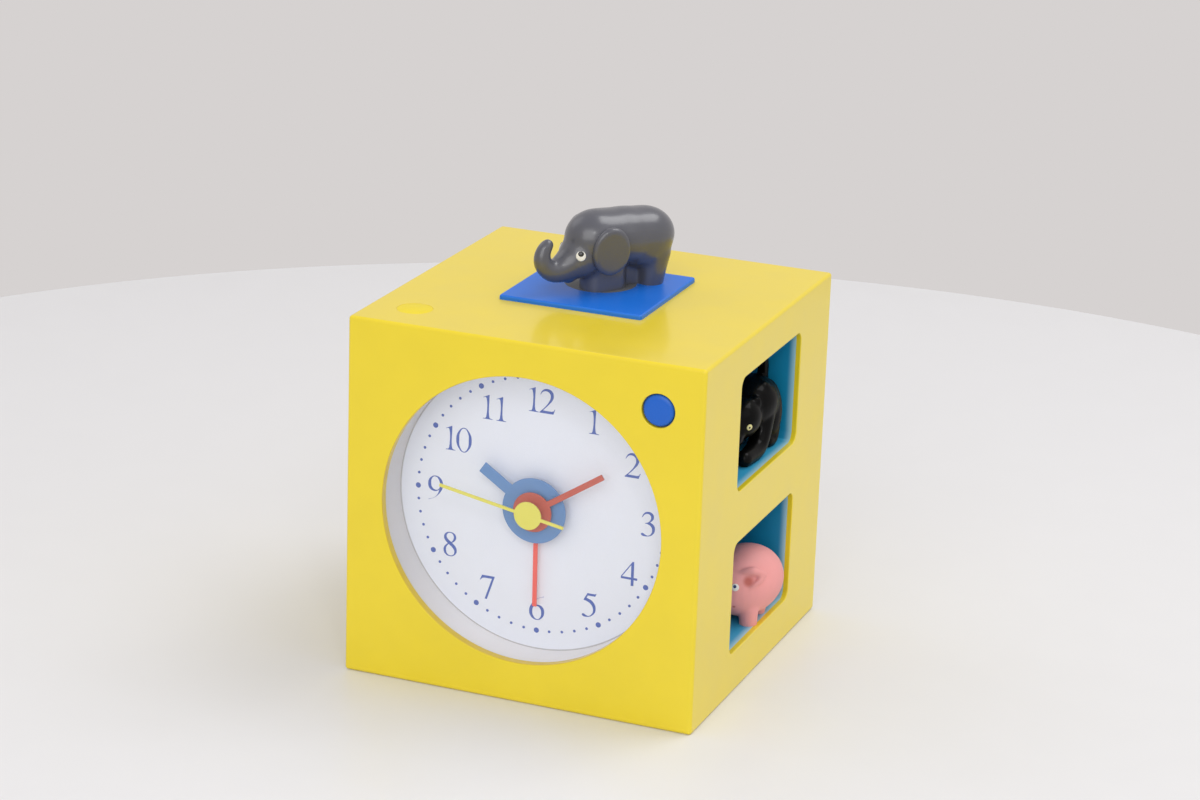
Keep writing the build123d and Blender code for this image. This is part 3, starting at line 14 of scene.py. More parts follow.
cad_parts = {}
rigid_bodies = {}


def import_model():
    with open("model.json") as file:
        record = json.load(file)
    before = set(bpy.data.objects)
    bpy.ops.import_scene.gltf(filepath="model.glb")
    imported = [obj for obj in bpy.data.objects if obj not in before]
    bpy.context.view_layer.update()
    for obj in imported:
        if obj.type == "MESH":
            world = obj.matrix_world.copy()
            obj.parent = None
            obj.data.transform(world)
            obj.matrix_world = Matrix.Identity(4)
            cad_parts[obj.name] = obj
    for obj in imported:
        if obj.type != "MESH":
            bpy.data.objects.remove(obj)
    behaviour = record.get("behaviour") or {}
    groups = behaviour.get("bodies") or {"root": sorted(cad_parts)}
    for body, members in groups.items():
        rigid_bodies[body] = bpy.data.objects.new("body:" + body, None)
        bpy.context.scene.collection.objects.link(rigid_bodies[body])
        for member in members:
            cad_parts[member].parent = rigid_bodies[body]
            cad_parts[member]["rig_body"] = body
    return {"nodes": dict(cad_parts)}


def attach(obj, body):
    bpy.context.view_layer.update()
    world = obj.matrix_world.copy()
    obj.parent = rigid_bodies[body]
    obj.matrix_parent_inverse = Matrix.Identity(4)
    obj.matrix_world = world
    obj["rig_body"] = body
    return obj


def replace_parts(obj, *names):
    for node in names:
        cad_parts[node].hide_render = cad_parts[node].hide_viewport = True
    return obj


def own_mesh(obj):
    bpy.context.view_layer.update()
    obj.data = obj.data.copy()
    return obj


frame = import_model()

LOG = logging.getLogger("clock")
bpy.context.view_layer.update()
MM = 0.001
Point = tuple[float, float, float]
Colour = tuple[float, float, float, float]
BMesh = bmesh.types.BMesh
# The gaps in millimetres under which corners are one: in a turned piece, in the CAD and in the print.
TURNED_GAP = 1e-4
CAD_GAP = 0.002
PRINT_GAP = 0.001
# The angle in degrees under which neighbouring faces are one flat, and the steps of a broken edge.
FLAT = 1.0
EDGE_STEPS = 2


def linear(colour: Point) -> Colour:
    """Turns a screen colour, from 0 to 255, into the shader's linear one with full alpha."""
    parts = [c / 255 for c in colour]
    return (*(c / 12.92 if c < 0.04045 else ((c + 0.055) / 1.055) ** 2.4 for c in parts), 1.0)


class Wire:
    """A number that leaves a shader socket; arithmetic on it adds Math nodes."""

    def __init__(self, tree: bpy.types.NodeTree, socket: bpy.types.NodeSocket) -> None:
        """Keeps the tree and the socket."""
        self.tree = tree
        self.socket = socket

    def _math(self, operation: str, first: "Number", second: "Number") -> "Wire":
        """Adds one Math node.

        Args:
            operation: the Math node's operation.
            first: its first value.
            second: its second value.

        Returns:
            The node's result.
        """
        node = self.tree.nodes.new("ShaderNodeMath")
        node.operation = operation
        for socket, value in zip(node.inputs, (first, second)):
            if isinstance(value, Wire):
                self.tree.links.new(value.socket, socket)
            else:
                socket.default_value = value
        return Wire(self.tree, node.outputs[0])

    def __add__(self, other: "Number") -> "Wire":
        """This number plus another."""
        return self._math("ADD", self, other)

    def __radd__(self, other: "Number") -> "Wire":
        """Another number plus this one."""
        return self._math("ADD", other, self)

    def __sub__(self, other: "Number") -> "Wire":
        """This number less another."""
        return self._math("SUBTRACT", self, other)

    def __rsub__(self, other: "Number") -> "Wire":
        """Another number less this one."""
        return self._math("SUBTRACT", other, self)

    def __mul__(self, other: "Number") -> "Wire":
        """This number times another."""
        return self._math("MULTIPLY", self, other)

    def __rmul__(self, other: "Number") -> "Wire":
        """Another number times this one."""
        return self._math("MULTIPLY", other, self)


Number = Union[Wire, float]


class Recipe:
    """The node tree of one finish."""

    def __init__(self, name: str) -> None:
        """Starts an empty material.

        Args:
            name: the finish's name.
        """
        self.material = bpy.data.materials.new("finish_" + name)
        self.material.use_nodes = True
        self.tree = self.material.node_tree
        self.tree.nodes.clear()

    def node(self, kind: str, settings: dict | None = None, sockets: dict | None = None, out: int | str = 0) -> Wire:
        """Adds any node.

        Args:
            kind: the node's type.
            settings: its settings, set first.
            sockets: values or wires by socket name or number.
            out: the output to go on from.

        Returns:
            That output; an end node, which has none, gives its first socket.
        """
        node = self.tree.nodes.new(kind)
        for key, value in (settings or {}).items():
            setattr(node, key, value)
        for key, value in (sockets or {}).items():
            if isinstance(value, Wire):
                self.tree.links.new(value.socket, node.inputs[key])
            else:
                node.inputs[key].default_value = value
        return Wire(self.tree, node.outputs[out] if node.outputs else node.inputs[0])

    def place(self) -> Wire:
        """The point on the piece, in its own coordinates."""
        return self.node("ShaderNodeTexCoord", out="Object")

    def cloud(self, size: float, detail: float = 2.0, where: Wire | None = None) -> Wire:
        """Soft noise round one half: its patches in metres, how fine it gets, and the coordinates it reads."""
        sockets = {"Vector": where or self.place(), "Scale": 1 / size, "Detail": detail}
        return self.node("ShaderNodeTexNoise", sockets=sockets)

    def blend(self, share: Number, first: Wire | tuple, second: Wire | tuple) -> Wire:
        """Mixes two colours by a share of the second."""
        return self.node("ShaderNodeMix", {"data_type": "RGBA"}, {0: share, 6: first, 7: second}, out=2)

    def spot(self, middle: Point, reach: float, soft: float) -> Wire:
        """A round patch.

        Args:
            middle: its middle in the piece's coordinates, in millimetres.
            reach: its radius in millimetres.
            soft: how wide its edge fades, in millimetres.

        Returns:
            One inside the patch, none outside.
        """
        away = self.node(
            "ShaderNodeVectorMath",
            {"operation": "DISTANCE"},
            {0: self.place(), 1: tuple(c * MM for c in middle)},
            out="Value",
        )
        limits = {"From Min": reach * MM, "From Max": (reach + soft) * MM, "To Min": 1.0, "To Max": 0.0}
        return self.node("ShaderNodeMapRange", {"interpolation_type": "SMOOTHSTEP"}, {"Value": away, **limits})

    def step(self, axis: str, start: float, end: float) -> Wire:
        """A soft step along one axis.

        Args:
            axis: X, Y or Z.
            start: where it is still none, in millimetres.
            end: where it is one.

        Returns:
            A number from none to one.
        """
        along = self.node("ShaderNodeSeparateXYZ", sockets={"Vector": self.place()}, out=axis)
        limits = {"Value": along, "From Min": start * MM, "From Max": end * MM}
        return self.node("ShaderNodeMapRange", {"interpolation_type": "SMOOTHSTEP"}, limits)

    def bump(self, height: Wire, depth: float) -> Wire:
        """Relief from a height, its depth in metres."""
        return self.node("ShaderNodeBump", sockets={"Strength": 1.0, "Distance": depth, "Height": height})

    def surface(self, sockets: dict) -> Material:
        """Closes the recipe with its shader.

        Args:
            sockets: the shader's values and wires.

        Returns:
            The finished material.
        """
        shader = self.node("ShaderNodeBsdfPrincipled", sockets=sockets)
        self.node("ShaderNodeOutputMaterial", sockets={"Surface": shader})
        return self.material


@dataclass(frozen=True)
class Finish:
    """A finish by its name in the record, its colour on screen and how far that colour varies."""

    slot: str
    colour: Point
    uneven: float = field(default=0.05, kw_only=True)

    def shade(self, factor: float) -> Colour:
        """The colour made darker or lighter."""
        red, green, blue, alpha = linear(self.colour)
        return red * factor, green * factor, blue * factor, alpha

    def tint(self, recipe: Recipe, tone: Wire) -> Wire:
        """The colour for a tone of its clouds."""
        return recipe.blend(tone, self.shade(1 - self.uneven), self.shade(1 + self.uneven))

    def make(self) -> Material:
        """Builds the material; each kind of finish has its own."""
        raise NotImplementedError

    def material(self) -> Material:
        """The material, made once."""
        return bpy.data.materials.get("finish_" + self.slot) or self.make()


@dataclass(frozen=True)
class Moulded(Finish):
    """Moulded or lacquered plastic: a fine grain, faint clouds and uneven gloss, with its sizes in millimetres.

    Gloss and relief each give the share of the clouds and of the grain.
    """

    roughness: float = 0.5
    specular: float = 0.4
    coat: float = 0.0
    grain: float = 0.35
    depth: float = 0.006
    cloud: float = 18.0
    film: float = 0.12
    gloss: tuple[float, float] = (0.16, 0.06)
    relief: tuple[float, float] = (0.0, 1.0)

    def make(self) -> Material:
        """Builds the plastic.

        Returns:
            The material.
        """
        recipe = Recipe(self.slot)
        broad = recipe.cloud(self.cloud * MM, 3.0)
        fine = recipe.cloud(self.grain * MM)
        height = broad * self.relief[0] + fine * self.relief[1]
        return recipe.surface({
            "Base Color": self.tint(recipe, broad),
            "Roughness": (broad - 0.5) * self.gloss[0] + (fine - 0.5) * self.gloss[1] + self.roughness,
            "Specular IOR Level": self.specular,
            "Coat Weight": self.coat,
            "Coat Roughness": self.film,
            "Normal": recipe.bump(height, self.depth * MM),
        })


@dataclass(frozen=True)
class CaseLacquer(Moulded):
    """The case's lacquer, with painted shade in a deeper yellow on the wall of the dial opening."""

    middle: Point = (0.0, -61.0, 63.5)
    opening: float = 49.45
    soft: float = 0.25
    # Painted shade: the deeper yellow that stands for the shadow on the wall of the dial opening.
    wall_colour: Point = (220, 189, 6)

    def tint(self, recipe: Recipe, tone: Wire) -> Wire:
        """The lacquer's colour with painted shade on the opening's wall."""
        # Painted shade: inside this spot the colour turns to the deeper shaded yellow.
        wall = recipe.spot(self.middle, self.opening, self.soft)
        return recipe.blend(wall, super().tint(recipe, tone), linear(self.wall_colour))


@dataclass(frozen=True)
class RingWhite(Moulded):
    """The dial ring's plastic: painted shade on its left, painted light at its foot, a painted shadow line under the
    lens.
    """

    # Painted shade and light: the span along X from the ring's shaded left to its lit foot, and the colour shares at
    # its two ends.
    left: tuple[float, float] = (-49.0, -18.0)
    shades: tuple[float, float] = (0.9, 1.14)
    # Painted shadow: the span along Y under the lens that is darkened, and its colour.
    rim: tuple[float, float] = (-58.7, -57.9)
    rim_colour: Point = (150, 140, 132)

    def tint(self, recipe: Recipe, tone: Wire) -> Wire:
        """The ring's colour with its painted shade, painted light and painted shadow line."""
        wall = recipe.blend(recipe.step("X", *self.left), *(self.shade(share) for share in self.shades))
        return recipe.blend(recipe.step("Y", *self.rim), linear(self.rim_colour), wall)


@dataclass(frozen=True)
class Liner(Moulded):
    """Moulded niche liner: deep blue inside, with painted light on its floor and along its mouth."""

    roughness: float = 0.36
    specular: float = 0.5
    grain: float = 0.4
    depth: float = 0.005
    cloud: float = 15.0
    gloss: tuple[float, float] = (0.15, 0.0)
    uneven: float = field(default=0.07, kw_only=True)
    # Painted light: the paler blue along the mouth and on the floors, where light from outside falls.
    mouth_colour: Point = (172, 216, 230)
    mouth_at: float = 59.4
    fade: float = 1.5
    floor_colour: Point = (58, 168, 212)
    floors: tuple[float, float] = (14.95, 72.65)
    floor_fade: float = 0.4

    def tint(self, recipe: Recipe, tone: Wire) -> Wire:
        """The liner's colour with painted light on its floors and along its mouth.

        Args:
            recipe: the material so far.
            tone: the tone of its clouds.

        Returns:
            The colour.
        """
        colour = super().tint(recipe, tone)
        # Painted light on each floor.
        for floor in self.floors:
            under = recipe.step("Z", floor - self.floor_fade, floor)
            over = recipe.step("Z", floor + self.floor_fade, floor + 2 * self.floor_fade)
            colour = recipe.blend(under * (1 - over), colour, linear(self.floor_colour))
        # Painted light along the mouth.
        mouth = recipe.step("X", self.mouth_at - self.fade, self.mouth_at + self.fade)
        return recipe.blend(mouth, colour, linear(self.mouth_colour))


@dataclass(frozen=True)
class Paper(Finish):
    """Card, felt or a printed sheet: fibres in the colour and the relief."""

    roughness: float = 0.75
    fibre: float = 0.25
    depth: float = 0.01
    cloud: float = 25.0
    uneven: float = field(default=0.02, kw_only=True)

    def make(self) -> Material:
        """Builds the sheet.

        Returns:
            The material.
        """
        recipe = Recipe(self.slot)
        fibres = recipe.cloud(self.fibre * MM, 4.0)
        broad = recipe.cloud(self.cloud * MM)
        return recipe.surface({
            "Base Color": self.tint(recipe, fibres * 0.5 + broad * 0.5),
            "Roughness": (fibres - 0.5) * 0.2 + self.roughness,
            "Specular IOR Level": 0.25,
            "Normal": recipe.bump(fibres, self.depth * MM),
        })


@dataclass(frozen=True)
class DialCard(Paper):
    """The dial's card, with a painted shadow line round it where the ring stands on it."""

    middle: Point = (0.0, -46.0, 63.5)
    # Painted shadow: the grey line in the gap where the ring stands on the card.
    line_at: float = 49.8
    line_soft: float = 0.4
    line_colour: Point = (186, 185, 188)

    def tint(self, recipe: Recipe, tone: Wire) -> Wire:
        """The card's colour with the painted shadow line."""
        inside = recipe.spot(self.middle, self.line_at, self.line_soft)
        return recipe.blend(inside, linear(self.line_colour), super().tint(recipe, tone))


@dataclass(frozen=True)
class Metal(Finish):
    """Drawn, stamped or turned metal with fine streaks."""

    roughness: float = 0.32
    streak: Point = (60.0, 60.0, 4000.0)
    cloud: float = 5.0
    depth: float = 0.003
    shades: tuple[float, float] = (0.82, 1.12)

    def make(self) -> Material:
        """Builds the metal.

        Returns:
            The material.
        """
        recipe = Recipe(self.slot)
        drawn = recipe.node("ShaderNodeMapping", sockets={"Vector": recipe.place(), "Scale": self.streak})
        lines = recipe.cloud(1.0, 3.0, drawn)
        broad = recipe.cloud(self.cloud * MM)
        return recipe.surface({
            "Base Color": recipe.blend(lines * 0.6 + broad * 0.4, *(self.shade(share) for share in self.shades)),
            "Roughness": (lines - 0.5) * 0.25 + self.roughness,
            "Metallic": 1.0,
            "Normal": recipe.bump(lines, self.depth * MM),
        })


@dataclass(frozen=True)
class Board(Finish):
    """Circuit board: solder resist over lighter copper tracks."""

    cell: float = 3.2
    track: tuple[float, float] = (0.05, 0.09)
    depth: float = 0.03

    def make(self) -> Material:
        """Builds the board.

        Returns:
            The material.
        """
        recipe = Recipe(self.slot)
        cells = recipe.node(
            "ShaderNodeTexVoronoi",
            {"feature": "DISTANCE_TO_EDGE", "distance": "EUCLIDEAN"},
            {"Vector": recipe.place(), "Scale": 1 / (self.cell * MM)},
        )
        start, end = self.track
        track = recipe.node("ShaderNodeMapRange", sockets={"Value": cells, "From Min": start, "From Max": end})
        return recipe.surface({
            "Base Color": recipe.blend(track, self.shade(1.7), self.shade(0.95)),
            "Roughness": track * 0.12 + 0.3,
            "Normal": recipe.bump(1 - track, self.depth * MM),
        })


@dataclass(frozen=True)
class Winding(Finish):
    """Enamelled wire wound side by side."""

    turn: float = 0.22
    depth: float = 0.05

    def make(self) -> Material:
        """Builds the winding.

        Returns:
            The material.
        """
        recipe = Recipe(self.slot)
        sockets = {"Vector": recipe.place(), "Scale": 1 / (self.turn * MM * math.pi), "Distortion": 0.3}
        wires = recipe.node("ShaderNodeTexWave", {"bands_direction": "X"}, sockets, out="Fac")
        return recipe.surface({
            "Base Color": recipe.blend(wires, self.shade(0.5), self.shade(1.15)),
            "Roughness": 0.45 - wires * 0.15,
            "Metallic": 0.8,
            "Normal": recipe.bump(wires, self.depth * MM),
        })


@dataclass(frozen=True)
class Clear(Finish):
    """Clear acrylic sheet with the faintest haze."""

    haze: float = 0.03
    cloud: float = 14.0

    def make(self) -> Material:
        """Builds the clear sheet.

        Returns:
            The material.
        """
        recipe = Recipe(self.slot)
        dust = recipe.cloud(self.cloud * MM, 5.0)
        return recipe.surface({
            "Base Color": recipe.blend(dust, self.shade(0.9), self.shade(1.0)),
            "Roughness": dust * 0.08 + 0.02,
            "Specular IOR Level": 0.3,
            "Alpha": dust * self.haze + self.haze / 2,
        })


@dataclass(frozen=True)
class Vinyl(Moulded):
    """Painted toy vinyl: brushed-out colour, a lacquer film and painted shade where the shape folds in."""

    roughness: float = 0.35
    specular: float = 0.5
    coat: float = 0.3
    grain: float = 0.5
    depth: float = 0.03
    cloud: float = 7.0
    film: float = 0.1
    gloss: tuple[float, float] = (0.2, 0.08)
    relief: tuple[float, float] = (0.7, 0.3)
    uneven: float = field(default=0.08, kw_only=True)
    # Painted shade: darker patches where the shape folds in, each a middle, a reach and a soft edge in mm.
    fold: tuple[tuple[Point, float, float], ...] = ()
    fold_colour: Point = (0.0, 0.0, 0.0)
    fold_share: float = 0.8

    def tint(self, recipe: Recipe, tone: Wire) -> Wire:
        """The vinyl's colour with painted shade in its folds.

        Args:
            recipe: the material so far.
            tone: the tone of its clouds.

        Returns:
            The colour.
        """
        colour = super().tint(recipe, tone)
        for middle, reach, soft in self.fold:
            # Painted shade in each fold.
            patch = recipe.spot(middle, reach, soft) * self.fold_share
            colour = recipe.blend(patch, colour, linear(self.fold_colour))
        return colour


class Stock(Enum):
    """Every finish of the clock."""

    CASE = CaseLacquer("case_yellow", (236, 212, 30), 0.36, 0.5, 0.45)
    SNOOZE = Moulded("button_yellow", (237, 215, 24), 0.45, 0.45)
    BUTTON = Moulded("button_blue", (16, 96, 198), 0.3, 0.45)
    PLATE = Moulded("plate_blue", (14, 112, 220), 0.4, 0.5)
    TRAY = Liner("tray_blue", (17, 138, 182))
    READER = Moulded("reader_grey", (107, 109, 112), 0.6, 0.3, grain=0.2, depth=0.01)
    RING = RingWhite("ring_white", (226, 225, 227), 0.55, 0.35)
    DIAL = DialCard("dial_white", (234, 239, 250))
    CLEAR = Clear("clear", (255, 255, 255))
    HAND_YELLOW = Moulded("hand_yellow", (228, 222, 96), 0.45, 0.4, uneven=0.03)
    HAND_RED = Moulded("hand_red", (196, 92, 76), 0.45, 0.4, uneven=0.03)
    HAND_BLUE = Moulded("hand_blue", (100, 142, 196), 0.45, 0.4, uneven=0.03)
    HAND_CORAL = Moulded("hand_coral", (243, 100, 90), 0.45, 0.4, uneven=0.03)
    MOVEMENT = Moulded("movement_black", (26, 26, 28), 0.5, 0.4, depth=0.012)
    GEAR = Moulded("gear_white", (217, 214, 204), 0.5, 0.4, grain=0.2)
    STEEL = Metal("steel", (166, 166, 170), 0.3)
    IRON = Metal("iron", (122, 122, 125), 0.42)
    COPPER = Winding("copper", (186, 98, 52))
    BRASS = Metal("brass", (200, 160, 80), 0.28)
    BOARD = Board("board_green", (20, 76, 40))
    CHIP = Moulded("chip_black", (22, 22, 24), 0.6, 0.3, grain=0.15, depth=0.012)
    CAN = Metal("can_silver", (190, 190, 196), 0.25)
    RUBBER = Moulded("rubber_grey", (90, 90, 92), 0.75, 0.25, depth=0.015)
    KNOB = Moulded("knob_grey", (64, 64, 69), 0.55, 0.4, depth=0.012)
    BASKET = Moulded("basket_black", (28, 28, 28), 0.35, 0.5)
    CONE = Paper("paper_black", (30, 30, 31), 0.85, 0.5, 0.05, uneven=0.25)
    CELL = Moulded("cell_sleeve", (46, 112, 74), 0.3, 0.5)
    ELEPHANT = Vinyl("elephant_grey", (76, 78, 88), 0.36, 0.6, 0.7, film=0.2)
    PANTHER = Vinyl("panther_black", (5, 5, 5), 0.4, 0.05, 0.14, uneven=0.2)
    # The pig's painted shade lies in its folds: under its ear flap and at the root of its snout.
    PIG = Vinyl(
        "pig_pink", (239, 162, 160), 0.55, 0.35, 0.0, uneven=0.06, fold_colour=(186, 88, 74),
        fold=(((59.2, -1.5, 31.9), 0.7, 2.0), ((55.1, -3.6, 22.7), 0.2, 0.6)),
    )
    INK = Paper("print_blue", (84, 108, 184), 0.6, 0.15, 0.004, uneven=0.05)
    EYE_WHITE = Vinyl("eye_white", (236, 236, 230), 0.3, 0.5, 0.4, uneven=0.02)
    EYE_BLACK = Vinyl("eye_black", (14, 14, 14), 0.2, 0.5, 0.5, uneven=0.1)
    EYE_YELLOW = Vinyl("eye_yellow", (226, 218, 150), 0.3, 0.5, 0.4, uneven=0.05)
    EYE_BLUE = Vinyl("eye_blue", (40, 60, 110), 0.25, 0.5, 0.4, uneven=0.1)
    TABLE = Moulded("table_white", (229, 230, 232), 0.4, 0.3, grain=1.0, depth=0.002, uneven=0.01)


class Cut(Enum):
    """How a CAD node is shown."""

    SMOOTHED = "merged copy with smooth shading"
    AS_IT_IS = "the CAD node itself"


class Crease(Enum):
    """The smallest angle, in degrees, that stays a sharp edge."""

    HARD = 32.0
    SOFT = 50.0
    BUTTON = 60.0
    NONE = 180.0


def shade_smooth(shell: BMesh, crease: Crease) -> None:
    """Shades a mesh smooth and keeps its sharp edges.

    Args:
        shell: the mesh.
        crease: what counts as sharp.
    """
    for face in shell.faces:
        face.smooth = True
    for edge in shell.edges:
        edge.smooth = edge.calc_face_angle(math.pi) < math.radians(crease.value)


def take_mesh(shell: BMesh, name: str) -> Mesh:
    """Makes a mesh of a working mesh.

    Args:
        shell: the working mesh; it is freed.
        name: the mesh's name.

    Returns:
        The mesh.
    """
    mesh = bpy.data.meshes.new(name)
    shell.to_mesh(mesh)
    shell.free()
    return mesh


def pour_mesh(shell: BMesh, mesh: Mesh) -> None:
    """Adds a mesh to a working mesh and removes it."""
    shell.from_mesh(mesh)
    bpy.data.meshes.remove(mesh)


def hold(name: str, data: bpy.types.ID) -> Object:
    """Puts data in the scene.

    Args:
        name: the new object's name.
        data: its mesh, curve, light or camera.

    Returns:
        The new object.
    """
    holder = bpy.data.objects.new(name, data)
    bpy.context.scene.collection.objects.link(holder)
    return holder


def baked(holder: Object) -> Mesh:
    """Takes what a passing object shows.

    Args:
        holder: the object; it is removed.

    Returns:
        The mesh with the object's modifiers in it.
    """
    bpy.context.view_layer.update()
    mesh = bpy.data.meshes.new_from_object(holder.evaluated_get(bpy.context.evaluated_depsgraph_get()))
    bpy.data.objects.remove(holder)
    return mesh


def turned(line: Iterable[Point], axis: Point, steps: int) -> BMesh:
    """Turns a round piece from a line.

    Args:
        line: the points of its profile in millimetres, from axis to axis.
        axis: the axis through the origin.
        steps: how many sides it gets.

    Returns:
        The closed piece, in millimetres.
    """
    shell = bmesh.new()
    verts = [shell.verts.new(point) for point in line]
    edges = [shell.edges.new(pair) for pair in zip(verts, verts[1:])]
    bmesh.ops.spin(
        shell, geom=[*verts, *edges], cent=(0, 0, 0), axis=axis, angle=2 * math.pi, steps=steps, use_merge=True
    )
    bmesh.ops.remove_doubles(shell, verts=shell.verts, dist=TURNED_GAP)
    bmesh.ops.recalc_face_normals(shell, faces=shell.faces)
    return shell


def add_disc(shell: BMesh, radius: float, depth: float, sides: int, lay: Matrix) -> None:
    """Adds a disc or a cylinder, laid by a matrix."""
    ends = {"radius1": radius, "radius2": radius, "depth": depth}
    bmesh.ops.create_cone(shell, cap_ends=True, segments=sides, matrix=lay, **ends)


def cut_flat(shell: BMesh, point: Point, outward: Point) -> None:
    """Cuts a closed mesh off flat and closes it again.

    Args:
        shell: the mesh.
        point: a point on the cut.
        outward: the way to the side that goes.
    """
    whole = [*shell.verts, *shell.edges, *shell.faces]
    bmesh.ops.bisect_plane(shell, geom=whole, dist=1e-5, plane_co=point, plane_no=outward, clear_outer=True)
    bmesh.ops.holes_fill(shell, edges=[edge for edge in shell.edges if edge.is_boundary], sides=0)


def place_piece(name: str, shell: BMesh, stock: Stock, body: str) -> Object:
    """Makes a finished mesh a piece of the clock.

    Args:
        name: the piece's name.
        shell: its mesh, in place and in metres; it is freed.
        stock: its finish.
        body: the CAD body it rides on.

    Returns:
        The new object.
    """
    mesh = take_mesh(shell, name)
    mesh.materials.append(stock.value.material())
    piece = hold(name, mesh)
    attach(piece, body)
    LOG.info("%s: %d faces, %s, on %s", name, len(mesh.polygons), stock.name.lower(), body)
    return piece


def dress_node(node: str, stock: Stock, cut: Cut = Cut.SMOOTHED, edge: float = 0.0) -> Object:
    """Dresses a CAD node.

    Args:
        node: the node's name.
        stock: its finish.
        cut: whether a smooth copy stands for it.
        edge: the size of a bevel on the sharp edges, in millimetres.

    Returns:
        The object that is shown.
    """
    source = frame["nodes"][node]
    if cut is Cut.AS_IT_IS:
        source.data.materials.clear()
        source.data.materials.append(stock.value.material())
        LOG.info("%s: CAD node, %s", node, stock.name.lower())
        return source
    shell = bmesh.new()
    shell.from_mesh(source.data)
    bmesh.ops.remove_doubles(shell, verts=shell.verts, dist=CAD_GAP * MM)
    if edge:
        bmesh.ops.dissolve_limit(shell, angle_limit=math.radians(FLAT), verts=shell.verts, edges=shell.edges)
    shade_smooth(shell, Crease.HARD)
    piece = place_piece(node + "_skin", shell, stock, source["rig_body"])
    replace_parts(piece, node)
    if edge:
        rim = piece.modifiers.new("rim", "BEVEL")
        rim.width = edge * MM
        rim.segments = EDGE_STEPS
        rim.limit_method = "ANGLE"
        rim.angle_limit = math.radians(Crease.HARD.value)
        rim.use_clamp_overlap = True
    level = piece.modifiers.new("level", "WEIGHTED_NORMAL")
    level.keep_sharp = True
    return piece


Nodes = tuple[tuple[Stock, tuple[str, ...]], ...]


@dataclass
class Assembly:
    """A sub-assembly: the CAD nodes that show and those that the case hides, by finish."""

    shown: Nodes = ()
    hidden: Nodes = ()
    edge: float = 0.0

    def build(self) -> None:
        """Dresses the nodes."""
        for nodes, cut in ((self.shown, Cut.SMOOTHED), (self.hidden, Cut.AS_IT_IS)):
            for stock, names in nodes:
                for node in names:
                    dress_node(node, stock, cut, self.edge)


@dataclass
class Cabinet(Assembly):
    """The yellow box, its back and its battery door, with their screws."""

    shown: Nodes = (
        (Stock.CASE, ("case_shell", "rear_cover", "battery_door")), (Stock.STEEL, ("cover_screws", "door_screw")),
    )


@dataclass
class PushButton:
    """A round push button, turned from the radius and the depth of its profile in millimetres."""

    node: str
    stock: Stock
    face: Point
    outward: Point
    profile: tuple[tuple[float, float], ...]
    steps: int = 72

    def build(self) -> None:
        """Turns the button and puts it in the place of its node."""
        shell = turned(((radius, 0, -depth) for radius, depth in self.profile), (0, 0, 1), self.steps)
        turn = Vector(self.outward).to_track_quat("Z", "Y").to_matrix().to_4x4()
        lay = Matrix.Scale(MM, 4) @ Matrix.Translation(Vector(self.face)) @ turn
        bmesh.ops.transform(shell, matrix=lay, verts=shell.verts)
        shade_smooth(shell, Crease.HARD)
        piece = place_piece(self.node + "_skin", shell, self.stock, frame["nodes"][self.node]["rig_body"])
        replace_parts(piece, self.node)


@dataclass
class Buttons(Assembly):
    """The alarm button in front and the snooze button on top, with their domes and boards inside."""

    alarm_at: Point = (46.65, -62.5, 109.15)
    alarm_cap: tuple[tuple[float, float], ...] = (
        (0.0, 0.0), (3.0, 0.0), (3.6, 0.02), (4.2, 0.1), (4.7, 0.26), (5.05, 0.48), (5.25, 0.75), (5.35, 1.1),
        (5.35, 1.85),
    )
    snooze_at: Point = (-46.5, -45.3, 125.0)
    snooze_cap: tuple[tuple[float, float], ...] = ((0.0, 0.0), (5.8, 0.0), (5.96, 0.04), (6.02, 0.16), (6.02, 1.85))
    stem: tuple[tuple[float, float], ...] = ((6.9, 1.85), (6.9, 3.0), (3.6, 3.0), (3.6, 5.0), (0.0, 5.0))
    alarm_dome_foot: Point = (46.65, -54.9, 109.15)
    snooze_dome_foot: Point = (-46.5, -45.3, 117.4)
    dome_keep: float = 0.4
    hidden: Nodes = (
        (Stock.BOARD, ("alarm_switch_board", "snooze_switch_board")), (Stock.STEEL, ("switch_screws",)),
    )

    def build(self) -> None:
        """Dresses both buttons and what they press."""
        PushButton("alarm_button", Stock.BUTTON, self.alarm_at, (0, -1, 0), self.alarm_cap + self.stem).build()
        PushButton("snooze_button", Stock.SNOOZE, self.snooze_at, (0, 0, 1), self.snooze_cap + self.stem).build()
        for button, axis, foot in (
            ("alarm_button", (0, 1, 0), self.alarm_dome_foot), ("snooze_button", (0, 0, 1), self.snooze_dome_foot),
        ):
            dome = dress_node(button + "_dome", Stock.RUBBER)
            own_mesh(dome)
        super().build()


@dataclass
class Stands(Assembly):
    """The blue plate on top with its reader, and the two blue niches."""

    shown: Nodes = (
        (Stock.PLATE, ("top_plate",)), (Stock.READER, ("reader_disc",)), (Stock.TRAY, ("upper_tray", "lower_tray")),
    )
    hidden: Nodes = ((Stock.BOARD, ("reader_board",)), (Stock.STEEL, ("plate_screws",)))


